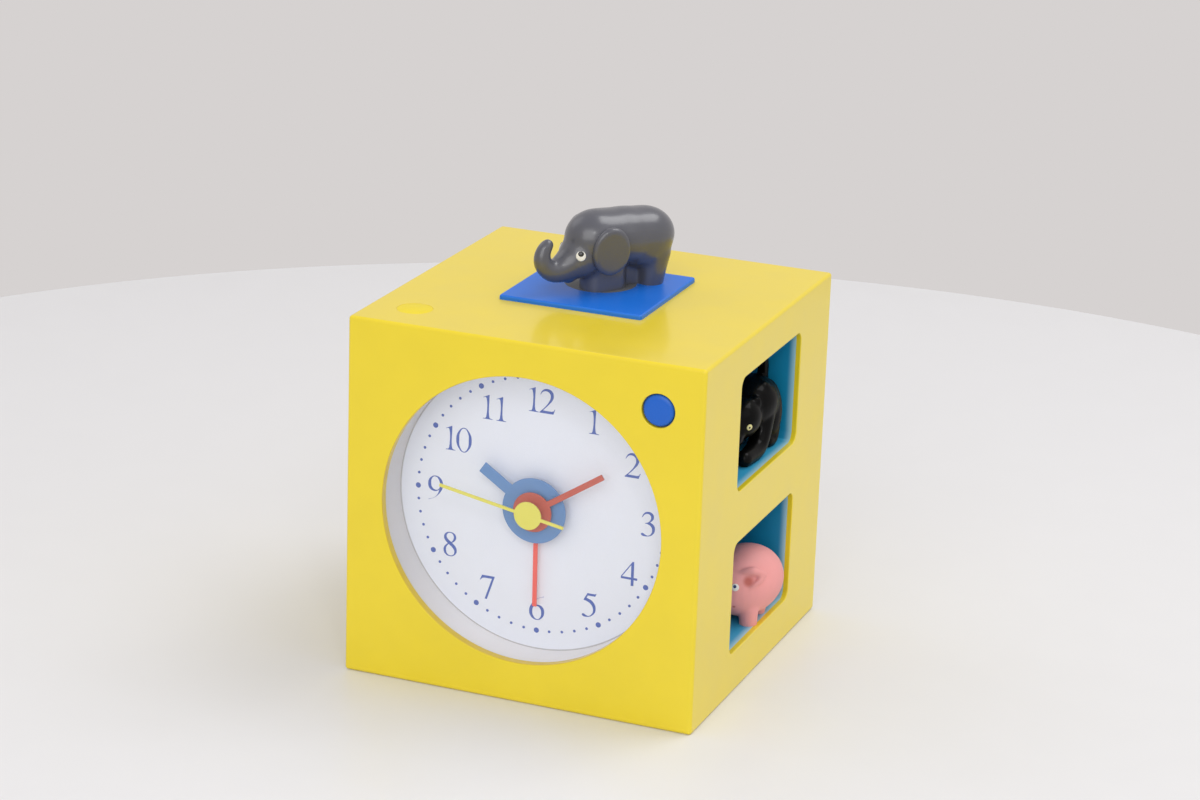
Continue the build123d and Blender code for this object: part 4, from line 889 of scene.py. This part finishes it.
# Outlines of the dial's digits, drawn for this dial: across, up, and a third number where the point is a corner.
ZERO = (
    (
        (250, 676), (92, 560), (26, 331), (92, 102), (250, -14), (408, 102), (474, 331), (408, 560),
    ),
    (
        (250, 650), (356, 545), (384, 331), (356, 117), (250, 12), (144, 117), (116, 331), (144, 545),
    ),
)
ONE = (
    (
        (118, 0, 1), (394, 0, 1), (394, 20, 1), (322, 34), (296, 92), (296, 676, 1), (282, 676, 1), (112, 596, 1),
        (112, 578, 1), (184, 598), (212, 556), (212, 92), (188, 34), (118, 20, 1),
    ),
)
TWO = (
    (
        (30, 0, 1), (424, 0, 1), (474, 142, 1), (456, 148, 1), (424, 94), (372, 76, 1), (132, 76, 1), (300, 258),
        (394, 384), (424, 492), (376, 622), (246, 676), (112, 630), (38, 500, 1), (56, 494, 1), (116, 576),
        (208, 606), (302, 562), (334, 466), (292, 334), (180, 174), (30, 20, 1),
    ),
)
THREE = (
    (
        (54, 510, 1), (118, 628), (236, 676), (350, 640), (392, 546), (362, 458), (292, 392, 1), (388, 336),
        (432, 226), (366, 58), (178, -14), (74, 0), (42, 38), (82, 74), (150, 46), (232, 20), (320, 78), (348, 190),
        (306, 286), (212, 332), (152, 338, 1), (152, 356, 1), (246, 396), (310, 514), (278, 590), (204, 612),
        (128, 576), (74, 500, 1),
    ),
)
FOUR = (
    (
        (12, 167, 1), (292, 167, 1), (292, 0, 1), (374, 0, 1), (374, 167, 1), (474, 167, 1), (474, 234, 1),
        (374, 234, 1), (374, 676, 1), (326, 676, 1), (12, 234, 1),
    ),
    ((292, 234, 1), (52, 234, 1), (292, 572, 1)),
)
FIVE = (
    (
        (64, 455, 1), (174, 662, 1), (384, 662, 1), (438, 690, 1), (402, 594, 1), (192, 594, 1), (162, 530, 1),
        (332, 448), (424, 268), (350, 68), (152, -14), (60, 2), (32, 40), (70, 76), (138, 48), (216, 26), (310, 90),
        (346, 214), (292, 350), (174, 428),
    ),
)
SIX = (
    (
        (446, 684, 1), (262, 596), (88, 408), (34, 240), (92, 56), (250, -14), (410, 66), (468, 218), (420, 372),
        (286, 428), (200, 410), (140, 368, 1), (196, 506), (300, 608), (450, 668, 1),
    ),
    (
        (248, 382), (342, 330), (378, 194), (346, 66), (264, 14), (168, 78), (126, 242), (164, 352),
    ),
)
SEVEN = (
    (
        (449, 662, 1), (449, 644, 1), (238, -8, 1), (170, -8, 1), (366, 586, 1), (166, 586, 1), (98, 570),
        (38, 506, 1), (20, 515, 1), (80, 662, 1),
    ),
)
EIGHT = (
    (
        (250, 676), (116, 632), (64, 524), (94, 430), (176, 348, 1), (92, 268), (56, 160), (112, 34), (248, -14),
        (390, 42), (446, 166), (412, 272), (308, 374, 1), (394, 448), (422, 538), (376, 636),
    ),
    (
        (246, 648), (318, 616), (346, 530), (330, 458), (284, 396, 1), (180, 472), (142, 548), (176, 620),
    ),
    (
        (206, 324, 1), (148, 252), (132, 154), (170, 52), (258, 14), (344, 48), (372, 134), (324, 232),
    ),
)
DIGIT_BODY = (500, 662)
NINE = tuple(tuple((DIGIT_BODY[0] - x, DIGIT_BODY[1] - y, *corner) for x, y, *corner in outline) for outline in SIX)
DIGITS = (ZERO, ONE, TWO, THREE, FOUR, FIVE, SIX, SEVEN, EIGHT, NINE)


@dataclass
class DialFace(Assembly):
    """The white dial with its printed hours and dots, its ring, its lens and its nut."""

    middle: Point = (0.0, -46.0, 63.5)
    digit_height: float = 8.35
    digit_body: float = DIGIT_BODY[1]
    digit_step: float = 385.0
    thinner: float = 2.0
    curve_steps: int = 5
    hours_at: tuple[tuple[float, float], ...] = (
        (18.6, 32.5), (32.6, 19.75), (38.7, 0.5), (32.75, -17.8), (19.0, -31.4), (0.3, -35.75),
        (-17.9, -31.6), (-31.7, -18.6), (-37.5, 0.5), (-29.4, 18.9), (-16.75, 31.75), (0.07, 36.95),
    )
    dots_at: tuple[float, float] = (0.4, 0.45)
    dot_radius: float = 44.2
    minute_dot: float = 0.5
    hour_dot: float = 0.95
    ink: float = 0.03
    sides: int = 14
    shown: Nodes = (
        (Stock.DIAL, ("dial",)), (Stock.RING, ("dial_ring",)), (Stock.CLEAR, ("lens",)),
        (Stock.BRASS, ("movement_nut",)),
    )
    hidden: Nodes = ((Stock.STEEL, ("dial_screws",)),)

    def outline_mesh(self, digit: int) -> Mesh:
        """Fills a digit's outlines.

        Args:
            digit: the digit.

        Returns:
            A flat mesh with a little thickness, in the outlines' own units.
        """
        curve = bpy.data.curves.new("digit", "CURVE")
        curve.dimensions = "2D"
        curve.fill_mode = "BOTH"
        curve.resolution_u = self.curve_steps
        curve.extrude = self.ink / 2 * self.digit_body / self.digit_height
        curve.offset = -self.thinner
        for outline in DIGITS[digit]:
            spline = curve.splines.new("BEZIER")
            spline.bezier_points.add(len(outline) - 1)
            spline.use_cyclic_u = True
            for knot, (x, y, *corner) in zip(spline.bezier_points, outline):
                knot.co = (x, y, 0)
                knot.handle_left_type = "VECTOR" if corner else "AUTO"
                knot.handle_right_type = knot.handle_left_type
        mesh = baked(hold("digit", curve))
        bpy.data.curves.remove(curve)
        return mesh

    def on_dial(self, x: float, z: float, scale: float = 1.0) -> Matrix:
        """Stands a flat drawing on the dial.

        Args:
            x: how far right of the dial's middle, in millimetres.
            z: how far above it.
            scale: millimetres for each unit of the drawing.

        Returns:
            The matrix from the drawing to the clock, in metres.
        """
        across, depth, up = self.middle
        spot = Matrix.Translation(Vector((across + x, depth - self.ink / 2, up + z)))
        return Matrix.Scale(MM, 4) @ spot @ Matrix.Rotation(math.pi / 2, 4, "X") @ Matrix.Scale(scale, 4)

    def hours(self) -> BMesh:
        """Prints the hours.

        Returns:
            The twelve numbers, in place.
        """
        print_shell = bmesh.new()
        scale = self.digit_height / self.digit_body
        for hour, (right, up) in enumerate(self.hours_at, 1):
            meshes = [self.outline_mesh(int(figure)) for figure in str(hour)]
            for index, mesh in enumerate(meshes):
                mesh.transform(Matrix.Translation(Vector((index * self.digit_step, 0, 0))))
            across = [vert.co.x for mesh in meshes for vert in mesh.vertices]
            middle = (min(across) + max(across)) / 2
            for mesh in meshes:
                mesh.transform(Matrix.Translation(Vector((-middle, -self.digit_body / 2, 0))))
                mesh.transform(self.on_dial(right, up, scale))
                pour_mesh(print_shell, mesh)
        bmesh.ops.remove_doubles(print_shell, verts=print_shell.verts, dist=PRINT_GAP * MM)
        return print_shell

    def dots(self) -> BMesh:
        """Prints the sixty dots.

        Returns:
            The dots, in place.
        """
        print_shell = bmesh.new()
        across, above = self.dots_at
        for minute in range(60):
            angle = math.radians(6 * minute)
            radius = self.hour_dot if minute % 5 == 0 else self.minute_dot
            right, up = math.sin(angle) * self.dot_radius, math.cos(angle) * self.dot_radius
            lay = self.on_dial(across + right, above + up)
            add_disc(print_shell, radius, self.ink, self.sides, lay)
        return print_shell

    def build(self) -> None:
        """Dresses the dial and prints it."""
        super().build()
        place_piece("dial_hours", self.hours(), Stock.INK, "case")
        place_piece("dial_dots", self.dots(), Stock.INK, "case")


@dataclass
class Hands(Assembly):
    """The four painted hands, their edges just broken."""

    shown: Nodes = (
        (Stock.HAND_YELLOW, ("second_hand",)), (Stock.HAND_RED, ("minute_hand",)), (Stock.HAND_BLUE, ("hour_hand",)),
        (Stock.HAND_CORAL, ("alarm_hand",)),
    )
    edge: float = 0.08


@dataclass
class Insides(Assembly):
    """The knobs, which show behind, and what the case hides: movement, sound and cells."""

    shown: Nodes = ((Stock.KNOB, ("time_knob", "alarm_knob")),)
    hidden: Nodes = (
        (Stock.MOVEMENT, ("movement_front", "movement_back")),
        (Stock.GEAR, (
            "second_wheel", "step_wheel", "third_wheel", "centre_wheel", "minute_wheel", "minute_cannon",
            "hour_wheel", "alarm_set_gear", "alarm_wheel",
        )),
        (Stock.STEEL, ("time_stem", "alarm_stem", "battery_contacts", "board_screws", "speaker_screws")),
        (Stock.IRON, ("stator", "rotor", "speaker_magnet")),
        (Stock.COPPER, ("coil",)),
        (Stock.BOARD, ("movement_board", "sound_board")),
        (Stock.CHIP, ("sound_chip",)),
        (Stock.CAN, ("crystal", "capacitor")),
        (Stock.BASKET, ("speaker_frame",)),
        (Stock.CONE, ("speaker_cone",)),
        (Stock.CELL, ("battery_cells",)),
    )


# How finely the balls and barrels of the toy animals and their eyes are divided.
BALL_SIDES = (32, 20)
BARREL_SIDES = 40
EYE_SIDES = (24, 14)


def press_ball(clay: BMesh, lay: Matrix) -> None:
    """Presses a ball into a figure's clay.

    Args:
        clay: the figure so far.
        lay: the matrix that sizes and lays a ball of radius 1.
    """
    pattern = bpy.data.meshes.get("ball_pattern")
    if pattern is None:
        shell = bmesh.new()
        bmesh.ops.create_uvsphere(shell, u_segments=BALL_SIDES[0], v_segments=BALL_SIDES[1], radius=1.0)
        pattern = take_mesh(shell, "ball_pattern")
    lump = pattern.copy()
    lump.transform(lay)
    pour_mesh(clay, lump)


@dataclass(frozen=True)
class Ball:
    """A round mass: middle, half length, radius, tip nose down, turn, and a straight middle, in mm and degrees."""

    at: Point
    half: float
    radius: float
    pitch: float = 0.0
    yaw: float = 0.0
    straight: float = 0.0

    def mirrored(self) -> "Ball":
        """The same mass on the figure's other side."""
        x, y, z = self.at
        return Ball((x, -y, z), self.half, self.radius, self.pitch, -self.yaw, self.straight)

    def lay(self) -> Matrix:
        """Where the mass lies in the figure."""
        turn = Matrix.Rotation(math.radians(self.yaw), 4, "Z") @ Matrix.Rotation(math.radians(self.pitch), 4, "Y")
        return Matrix.Translation(Vector(self.at)) @ turn

    def add(self, clay: BMesh) -> None:
        """Adds the mass to the figure's clay.

        Args:
            clay: the figure so far.
        """
        for end in (-1, 1):
            shift = Matrix.Translation(Vector((end * self.straight / 2, 0, 0)))
            size = Matrix.Diagonal(Vector((self.half, self.radius, self.radius, 1)))
            press_ball(clay, self.lay() @ shift @ size)
        if self.straight:
            across = self.lay() @ Matrix.Rotation(math.pi / 2, 4, "Y")
            add_disc(clay, self.radius, self.straight, BARREL_SIDES, across)


@dataclass(frozen=True)
class Limb:
    """A round limb along a smooth line through a few points, with a radius at each, in mm."""

    points: tuple[Point, ...]
    radii: tuple[float, ...]
    steps: int = 8

    def mirrored(self) -> "Limb":
        """The same limb on the figure's other side."""
        return Limb(tuple((x, -y, z) for x, y, z in self.points), self.radii, self.steps)

    def at(self, place: float) -> tuple[Vector, float]:
        """A point along the limb.

        Args:
            place: how far along, counted in the limb's points.

        Returns:
            The point on the smooth line and the radius there.
        """
        last = len(self.points) - 1
        index = min(int(place), last - 1)
        t = place - index
        knots = [Vector(self.points[min(max(index + step, 0), last)]) for step in (-1, 0, 1, 2)]
        p0, p1, p2, p3 = knots
        bend = (p2 - p0) * t + (2 * p0 - 5 * p1 + 4 * p2 - p3) * t ** 2 + (3 * p1 - p0 - 3 * p2 + p3) * t ** 3
        radius = self.radii[index] * (1 - t) + self.radii[index + 1] * t
        return p1 + bend / 2, radius

    def add(self, clay: BMesh) -> None:
        """Adds the limb to the figure's clay.

        Args:
            clay: the figure so far.
        """
        spans = (len(self.points) - 1) * self.steps
        for index in range(spans + 1):
            point, radius = self.at(index / self.steps)
            press_ball(clay, Matrix.Translation(point) @ Matrix.Scale(radius, 4))


Part = Union[Ball, Limb]


@dataclass
class ToyFigure:
    """A moulded toy animal: masses and limbs pressed into one smooth skin, in mm, nose along +X, soles on Z = 0."""

    node: str
    at: Point
    turn: float
    stock: Stock
    rounds: int
    masses: tuple[Part, ...]
    sides: tuple[Part, ...]
    eye_at: tuple[float, float]
    eye_size: float
    pupil: Point
    voxel: float = 0.42
    smoothing: float = 0.5
    outside: float = 40.0
    eye_proud: float = 0.4
    eye_stock: Stock = Stock.EYE_WHITE
    eye_slot: str = "ring_white"
    pupil_lift: float = 0.45
    pupil_depth: float = 0.8
    pupil_stock: Stock = Stock.EYE_BLACK
    pupil_slot: str = "panther_black"

    def place(self) -> Matrix:
        """From the figure's own frame to the clock, in metres."""
        spin = Matrix.Rotation(math.radians(self.turn), 4, "Z")
        return Matrix.Scale(MM, 4) @ Matrix.Translation(Vector(self.at)) @ spin

    def core(self) -> BMesh:
        """What the rough figure starts from."""
        return bmesh.new()

    def clay(self) -> BMesh:
        """The rough figure.

        Returns:
            Its masses and limbs, overlapping.
        """
        clay = self.core()
        for part in self.masses:
            part.add(clay)
        for part in self.sides:
            part.add(clay)
            part.mirrored().add(clay)
        return clay

    def skin(self) -> BMesh:
        """Presses the rough figure into one skin.

        Returns:
            The skin with flat soles, in the figure's own frame.
        """
        mesh = take_mesh(self.clay(), self.node)
        holder = hold(self.node, mesh)
        press = holder.modifiers.new("press", "REMESH")
        press.mode = "VOXEL"
        press.voxel_size = self.voxel
        shell = bmesh.new()
        pour_mesh(shell, baked(holder))
        bpy.data.meshes.remove(mesh)
        for _ in range(self.rounds):
            bmesh.ops.smooth_vert(
                shell, verts=shell.verts, factor=self.smoothing, use_axis_x=True, use_axis_y=True, use_axis_z=True
            )
        cut_flat(shell, (0, 0, 0), (0, 0, -1))
        bmesh.ops.recalc_face_normals(shell, faces=shell.faces)
        return shell

    def eye(self, tree: BVHTree, side: int) -> Matrix:
        """Where an eye sits on the skin, seen square from one side.

        Args:
            tree: the skin.
            side: 1 for the left, -1 for the right.

        Returns:
            The matrix that lays a ball of radius 1 there as a flat button.
        """
        ahead, up = self.eye_at
        point, normal, _, _ = tree.ray_cast(Vector((ahead, side * self.outside, up)), Vector((0, -side, 0)))
        face = normal.to_track_quat("Z", "Y").to_matrix().to_4x4()
        size = Matrix.Diagonal(Vector((self.eye_size, self.eye_size, self.eye_proud, 1)))
        return Matrix.Translation(point) @ face @ size

    def looking(self, eyes: Sequence[Matrix]) -> list[Matrix]:
        """Where the pupils sit: how far forward and up they look, and their radius, in eye radii.

        Args:
            eyes: where the eyes lie, the right one first.

        Returns:
            The matrices that lay the pupils.
        """
        ahead, up, share = self.pupil
        size = Matrix.Diagonal(Vector((share, share, self.pupil_depth, 1)))
        shifts = [Matrix.Translation(Vector((way * ahead, up, self.pupil_lift))) for way in (1, -1)]
        return [eye @ shift @ size for eye, shift in zip(eyes, shifts)]

    def buttons(self, name: str, stock: Stock, lays: Sequence[Matrix]) -> None:
        """Sets flat round buttons, such as eyes, on the figure.

        Args:
            name: the piece's name.
            stock: its finish.
            lays: where each button lies.
        """
        shell = bmesh.new()
        for lay in lays:
            bmesh.ops.create_uvsphere(
                shell, u_segments=EYE_SIDES[0], v_segments=EYE_SIDES[1], radius=1.0, matrix=lay
            )
        bmesh.ops.transform(shell, matrix=self.place(), verts=shell.verts)
        shade_smooth(shell, Crease.BUTTON)
        place_piece(name, shell, stock, self.node)

    def extras(self) -> None:
        """Adds what only this animal has."""

    def build(self) -> None:
        """Builds the animal with its eyes."""
        shell = self.skin()
        tree = BVHTree.FromBMesh(shell)
        bmesh.ops.transform(shell, matrix=self.place(), verts=shell.verts)
        shade_smooth(shell, Crease.SOFT)
        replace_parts(place_piece(self.node + "_skin", shell, self.stock, self.node), self.node)
        self.extras()
        eyes = [self.eye(tree, side) for side in (-1, 1)]
        self.buttons(self.node + "_eyes", self.eye_stock, eyes)
        self.buttons(self.node + "_pupils", self.pupil_stock, self.looking(eyes))


@dataclass
class Elephant(ToyFigure):
    """The grey elephant with its trunk curled up."""

    node: str = "elephant"
    at: Point = (0.5, 2.6, 126.6)
    turn: float = 234.0
    stock: Stock = Stock.ELEPHANT
    rounds: int = 24
    masses: tuple[Part, ...] = (
        Ball((-6.4, 0.0, 17.3), 11.4, 9.7, -3.0, 0.0, 18.4),
        Ball((-7.5, 0.0, 17.2), 18.0, 9.95, -3.0),
        Ball((-15.5, 0.0, 14.6), 10.7, 9.4),
        Ball((8.2, 0.0, 12.5), 8.5, 7.8, 40.0),
        Ball((13.2, 0.0, 5.2), 2.8, 2.3, 10.0),
        Limb(
            (
                (9.5, 0.0, 12.0), (13.0, 0.0, 9.8), (16.2, 0.0, 8.4), (19.4, 0.0, 8.0), (22.0, 0.0, 9.2),
                (23.7, 0.0, 11.4), (23.9, 0.0, 13.9), (23.1, 0.0, 16.0), (21.9, 0.0, 17.3),
            ),
            (6.8, 5.6, 4.6, 3.9, 3.4, 3.1, 2.8, 2.5, 2.2),
        ),
    )
    sides: tuple[Limb, ...] = (Limb(((-17.7, 1.9, -2.0), (-18.8, 2.6, 11.0)), (4.2, 5.8), 12),)
    forelegs: Point = (15.6, 11.2, 14.0)
    foreleg_corner: float = 4.8
    foreleg_steps: int = 6
    web: Point = (12.0, 3.2, 14.0)
    web_at: float = -11.0
    sunk: float = 2.0
    ear_at: Ball = Ball((2.7, 9.3, 15.1), 2.6, 7.2, 6.0, 80.0)
    ear_profile: tuple[tuple[float, float], ...] = (
        (0.0, 1.6), (2.4, 1.58), (4.6, 1.6), (5.8, 1.7), (6.6, 1.45), (7.1, 0.7), (7.1, -0.4), (6.4, -1.8),
        (0.0, -2.2),
    )
    ear_reach: Point = (1.0, 0.94, 1.2)
    ear_sides: int = 32
    ear_smooth: int = 2
    eye_at: tuple[float, float] = (12.6, 13.9)
    eye_size: float = 1.7
    eye_proud: float = 0.45
    pupil: Point = (0.0, 0.34, 0.62)

    def block(self, clay: BMesh, ahead: float, size: Point) -> list[bmesh.types.BMVert]:
        """Adds a block that goes a little under the soles, and gives its corners."""
        lay = Matrix.Translation(Vector((ahead, 0, size[2] / 2 - self.sunk))) @ Matrix.Diagonal(Vector((*size, 1)))
        return bmesh.ops.create_cube(clay, size=1.0, matrix=lay)["verts"]

    def clay(self) -> BMesh:
        """The rough elephant.

        Returns:
            Its masses, legs and trunk, overlapping.
        """
        clay = super().clay()
        self.block(clay, self.web_at, self.web)
        corners = self.block(clay, 0.0, self.forelegs)
        upright = {edge for vert in corners for edge in vert.link_edges}
        upright = [edge for edge in upright if abs(edge.verts[0].co.z - edge.verts[1].co.z) > 1]
        bmesh.ops.bevel(
            clay, geom=upright, offset=self.foreleg_corner, affect="EDGES", segments=self.foreleg_steps,
            profile=0.5, material=-1,
        )
        return clay

    def extras(self) -> None:
        """Sets the round ears with their soft rims on both sides."""
        shell = bmesh.new()
        for ear in (self.ear_at, self.ear_at.mirrored()):
            dish = turned(((height, radius, 0) for radius, height in self.ear_profile), (1, 0, 0), self.ear_sides)
            reach = Matrix.Diagonal(Vector((*self.ear_reach, 1)))
            bmesh.ops.transform(dish, matrix=self.place() @ ear.lay() @ reach, verts=dish.verts)
            pour_mesh(shell, take_mesh(dish, "ear"))
        shade_smooth(shell, Crease.NONE)
        piece = place_piece("elephant_ears", shell, self.stock, self.node)
        soft = piece.modifiers.new("soft", "SUBSURF")
        soft.levels = soft.render_levels = self.ear_smooth


@dataclass
class Panther(ToyFigure):
    """The black panther, crouched with its head low between its forelegs."""

    node: str = "panther"
    at: Point = (50.4, 12.0, 72.67)
    turn: float = -90.0
    stock: Stock = Stock.PANTHER
    rounds: int = 7
    masses: tuple[Part, ...] = (
        Ball((-6.0, 0.0, 16.8), 11.0, 9.2),
        Ball((5.8, 0.3, 14.6), 8.4, 7.3, 15.0),
        Ball((12.6, 0.3, 9.2), 4.4, 3.8, 10.0),
        Limb(((-15.0, 0.0, 17.0), (-15.6, 0.2, 22.5), (-14.8, 0.6, 28.0), (-12.8, 1.0, 32.0)), (2.2, 2.1, 1.9, 1.7)),
    )
    sides: tuple[Part, ...] = (
        Ball((-6.2, 4.0, 17.4), 8.2, 4.4, -70.0),
        Ball((-11.6, 3.8, 12.6), 11.4, 5.2, 96.0),
        Ball((3.2, 4.2, 19.4), 1.9, 2.5, 8.0, 14.0),
        Limb(((-6.5, 4.8, 15.0), (0.3, 5.0, 3.6), (13.0, 4.8, 2.4)), (4.0, 3.5, 2.9), 16),
        Limb(((-13.6, 4.9, 6.0), (-12.6, 5.2, 2.2), (-9.0, 5.2, 2.0)), (3.2, 2.5, 2.2), 10),
    )
    eye_at: tuple[float, float] = (11.3, 13.3)
    eye_size: float = 1.1
    eye_stock: Stock = Stock.EYE_YELLOW
    eye_slot: str = "hand_yellow"
    pupil: Point = (0.1, 0.0, 0.45)


@dataclass
class Pig(ToyFigure):
    """The pink pig with its round body and flat snout."""

    node: str = "pig"
    at: Point = (53.4, 10.4, 14.97)
    turn: float = -107.0
    stock: Stock = Stock.PIG
    rounds: int = 8
    snout: Limb = Limb(((12.5, 0.0, 10.8), (17.6, 0.0, 10.2)), (4.8, 4.2), 10)
    snout_end: float = 18.3
    masses: tuple[Part, ...] = (
        Ball((0.0, 0.0, 12.7), 16.4, 12.2), Limb(((-14.5, -0.8, 14.2), (-17.0, -2.4, 14.8)), (1.6, 1.2)),
    )
    sides: tuple[Limb, ...] = (
        Limb(((10.2, 6.2, 19.6), (7.4, 9.2, 20.2), (4.2, 11.6, 18.7)), (0.8, 1.7, 1.1)),
        Limb(((4.2, 11.6, 18.7), (6.6, 11.3, 16.8), (9.2, 10.0, 15.0)), (1.1, 1.0, 0.6)),
        Limb(((5.8, 6.8, -2.0), (5.8, 6.8, 5.0)), (3.0, 3.4)),
        Limb(((-4.8, 2.5, -2.0), (-5.4, 3.0, 5.0)), (2.4, 3.2)),
    )
    eye_at: tuple[float, float] = (13.5, 15.2)
    eye_size: float = 1.3
    pupil: Point = (0.1, 0.2, 0.52)
    pupil_stock: Stock = Stock.EYE_BLUE
    pupil_slot: str = "hand_blue"

    def core(self) -> BMesh:
        """The flat snout.

        Returns:
            The snout, cut off in front, which the pig's clay starts from.
        """
        clay = super().core()
        self.snout.add(clay)
        cut_flat(clay, (self.snout_end, 0, 0), (1, 0, 0))
        return clay


@dataclass(frozen=True)
class Lamp:
    """A soft box: where it hangs, what it looks at, its sides in metres and its power in watts."""

    name: str
    at: Point
    size: float
    power: float
    aim: Point = (0.0, 0.0, 0.06)

    def hang(self) -> None:
        """Hangs the lamp."""
        light = bpy.data.lights.new(self.name, "AREA")
        light.size = self.size
        light.energy = self.power
        holder = hold(self.name, light)
        holder.location = self.at
        holder.rotation_euler = (Vector(self.aim) - Vector(self.at)).to_track_quat("-Z", "Y").to_euler()
        LOG.info("%s: %.0f W", self.name, self.power)


@dataclass
class Studio:
    """The pale table, the soft light and the camera."""

    table_at: Point = (0.0107, -0.0095, 0.0)
    table_radius: float = 0.4834
    table_thick: float = 0.02
    table_edge: float = 0.003
    table_sides: int = 160
    table_edge_steps: int = 4
    wall: Point = (214, 210, 209)
    lamps: tuple[Lamp, ...] = (
        Lamp("overhead", (0.6, 0.5, 1.45), 0.85, 7.6),
        Lamp("front", (0.25, -1.6, 0.9), 1.4, 10.6),
        Lamp("right", (1.35, -0.4, 1.15), 1.0, 1.3),
        Lamp("left", (-1.3, 0.2, 1.2), 0.9, 1.5),
        Lamp("key", (0.75, -1.25, 1.1), 0.12, 1.0),
    )
    azimuth: float = 21.38
    elevation: float = 18.39
    roll: float = 2.02
    target: Point = (0.00229, 0.0, 0.08746)
    distance: float = 1.15825
    lens: float = 102.36
    sensor: float = 36.0
    nearest: float = 0.05

    def table(self) -> None:
        """Makes the round table top with a broken edge."""
        shell = bmesh.new()
        down = Matrix.Translation(Vector(self.table_at) - Vector((0, 0, self.table_thick / 2)))
        add_disc(shell, self.table_radius, self.table_thick, self.table_sides, down)
        rims = [edge for edge in shell.edges if abs(edge.verts[0].co.z - edge.verts[1].co.z) < 1e-6]
        bmesh.ops.bevel(
            shell, geom=rims, offset=self.table_edge, affect="EDGES", segments=self.table_edge_steps, profile=0.5,
            material=-1,
        )
        shade_smooth(shell, Crease.SOFT)
        mesh = take_mesh(shell, "table")
        mesh.materials.append(Stock.TABLE.value.material())
        top = hold("table", mesh)

    def room(self) -> None:
        """Fills the room with the pale light of its walls."""
        world = bpy.data.worlds.new("room")
        world.use_nodes = True
        background = world.node_tree.nodes["Background"]
        background.inputs["Color"].default_value = linear(self.wall)
        background.inputs["Strength"].default_value = 1.0
        bpy.context.scene.world = world
        bpy.context.scene.view_settings.view_transform = "Standard"

    def camera(self) -> None:
        """Sets the camera where the photograph was taken."""
        azimuth = math.radians(self.azimuth)
        elevation = math.radians(self.elevation)
        flat = math.cos(elevation)
        back = Vector((math.sin(azimuth) * flat, -math.cos(azimuth) * flat, math.sin(elevation)))
        data = bpy.data.cameras.new("camera")
        data.lens = self.lens
        data.sensor_width = self.sensor
        data.sensor_fit = "HORIZONTAL"
        data.clip_start = self.nearest
        eye = hold("camera", data)
        turn = (-back).to_track_quat("-Z", "Y").to_matrix().to_4x4()
        place = Matrix.Translation(Vector(self.target) + back * self.distance)
        eye.matrix_world = place @ turn @ Matrix.Rotation(math.radians(self.roll), 4, "Z")
        bpy.context.scene.camera = eye

    def build(self) -> None:
        """Builds the studio."""
        self.table()
        self.room()
        for lamp in self.lamps:
            lamp.hang()
        self.camera()


def main() -> None:
    """Builds the clock and its studio."""
    logging.basicConfig(level=logging.INFO, format="%(message)s")
    for assembly in (Cabinet(), Stands(), Buttons(), DialFace(), Hands(), Insides(), Elephant(), Panther(), Pig()):
        assembly.build()
    Studio().build()


if __name__ == "__main__":
    main()
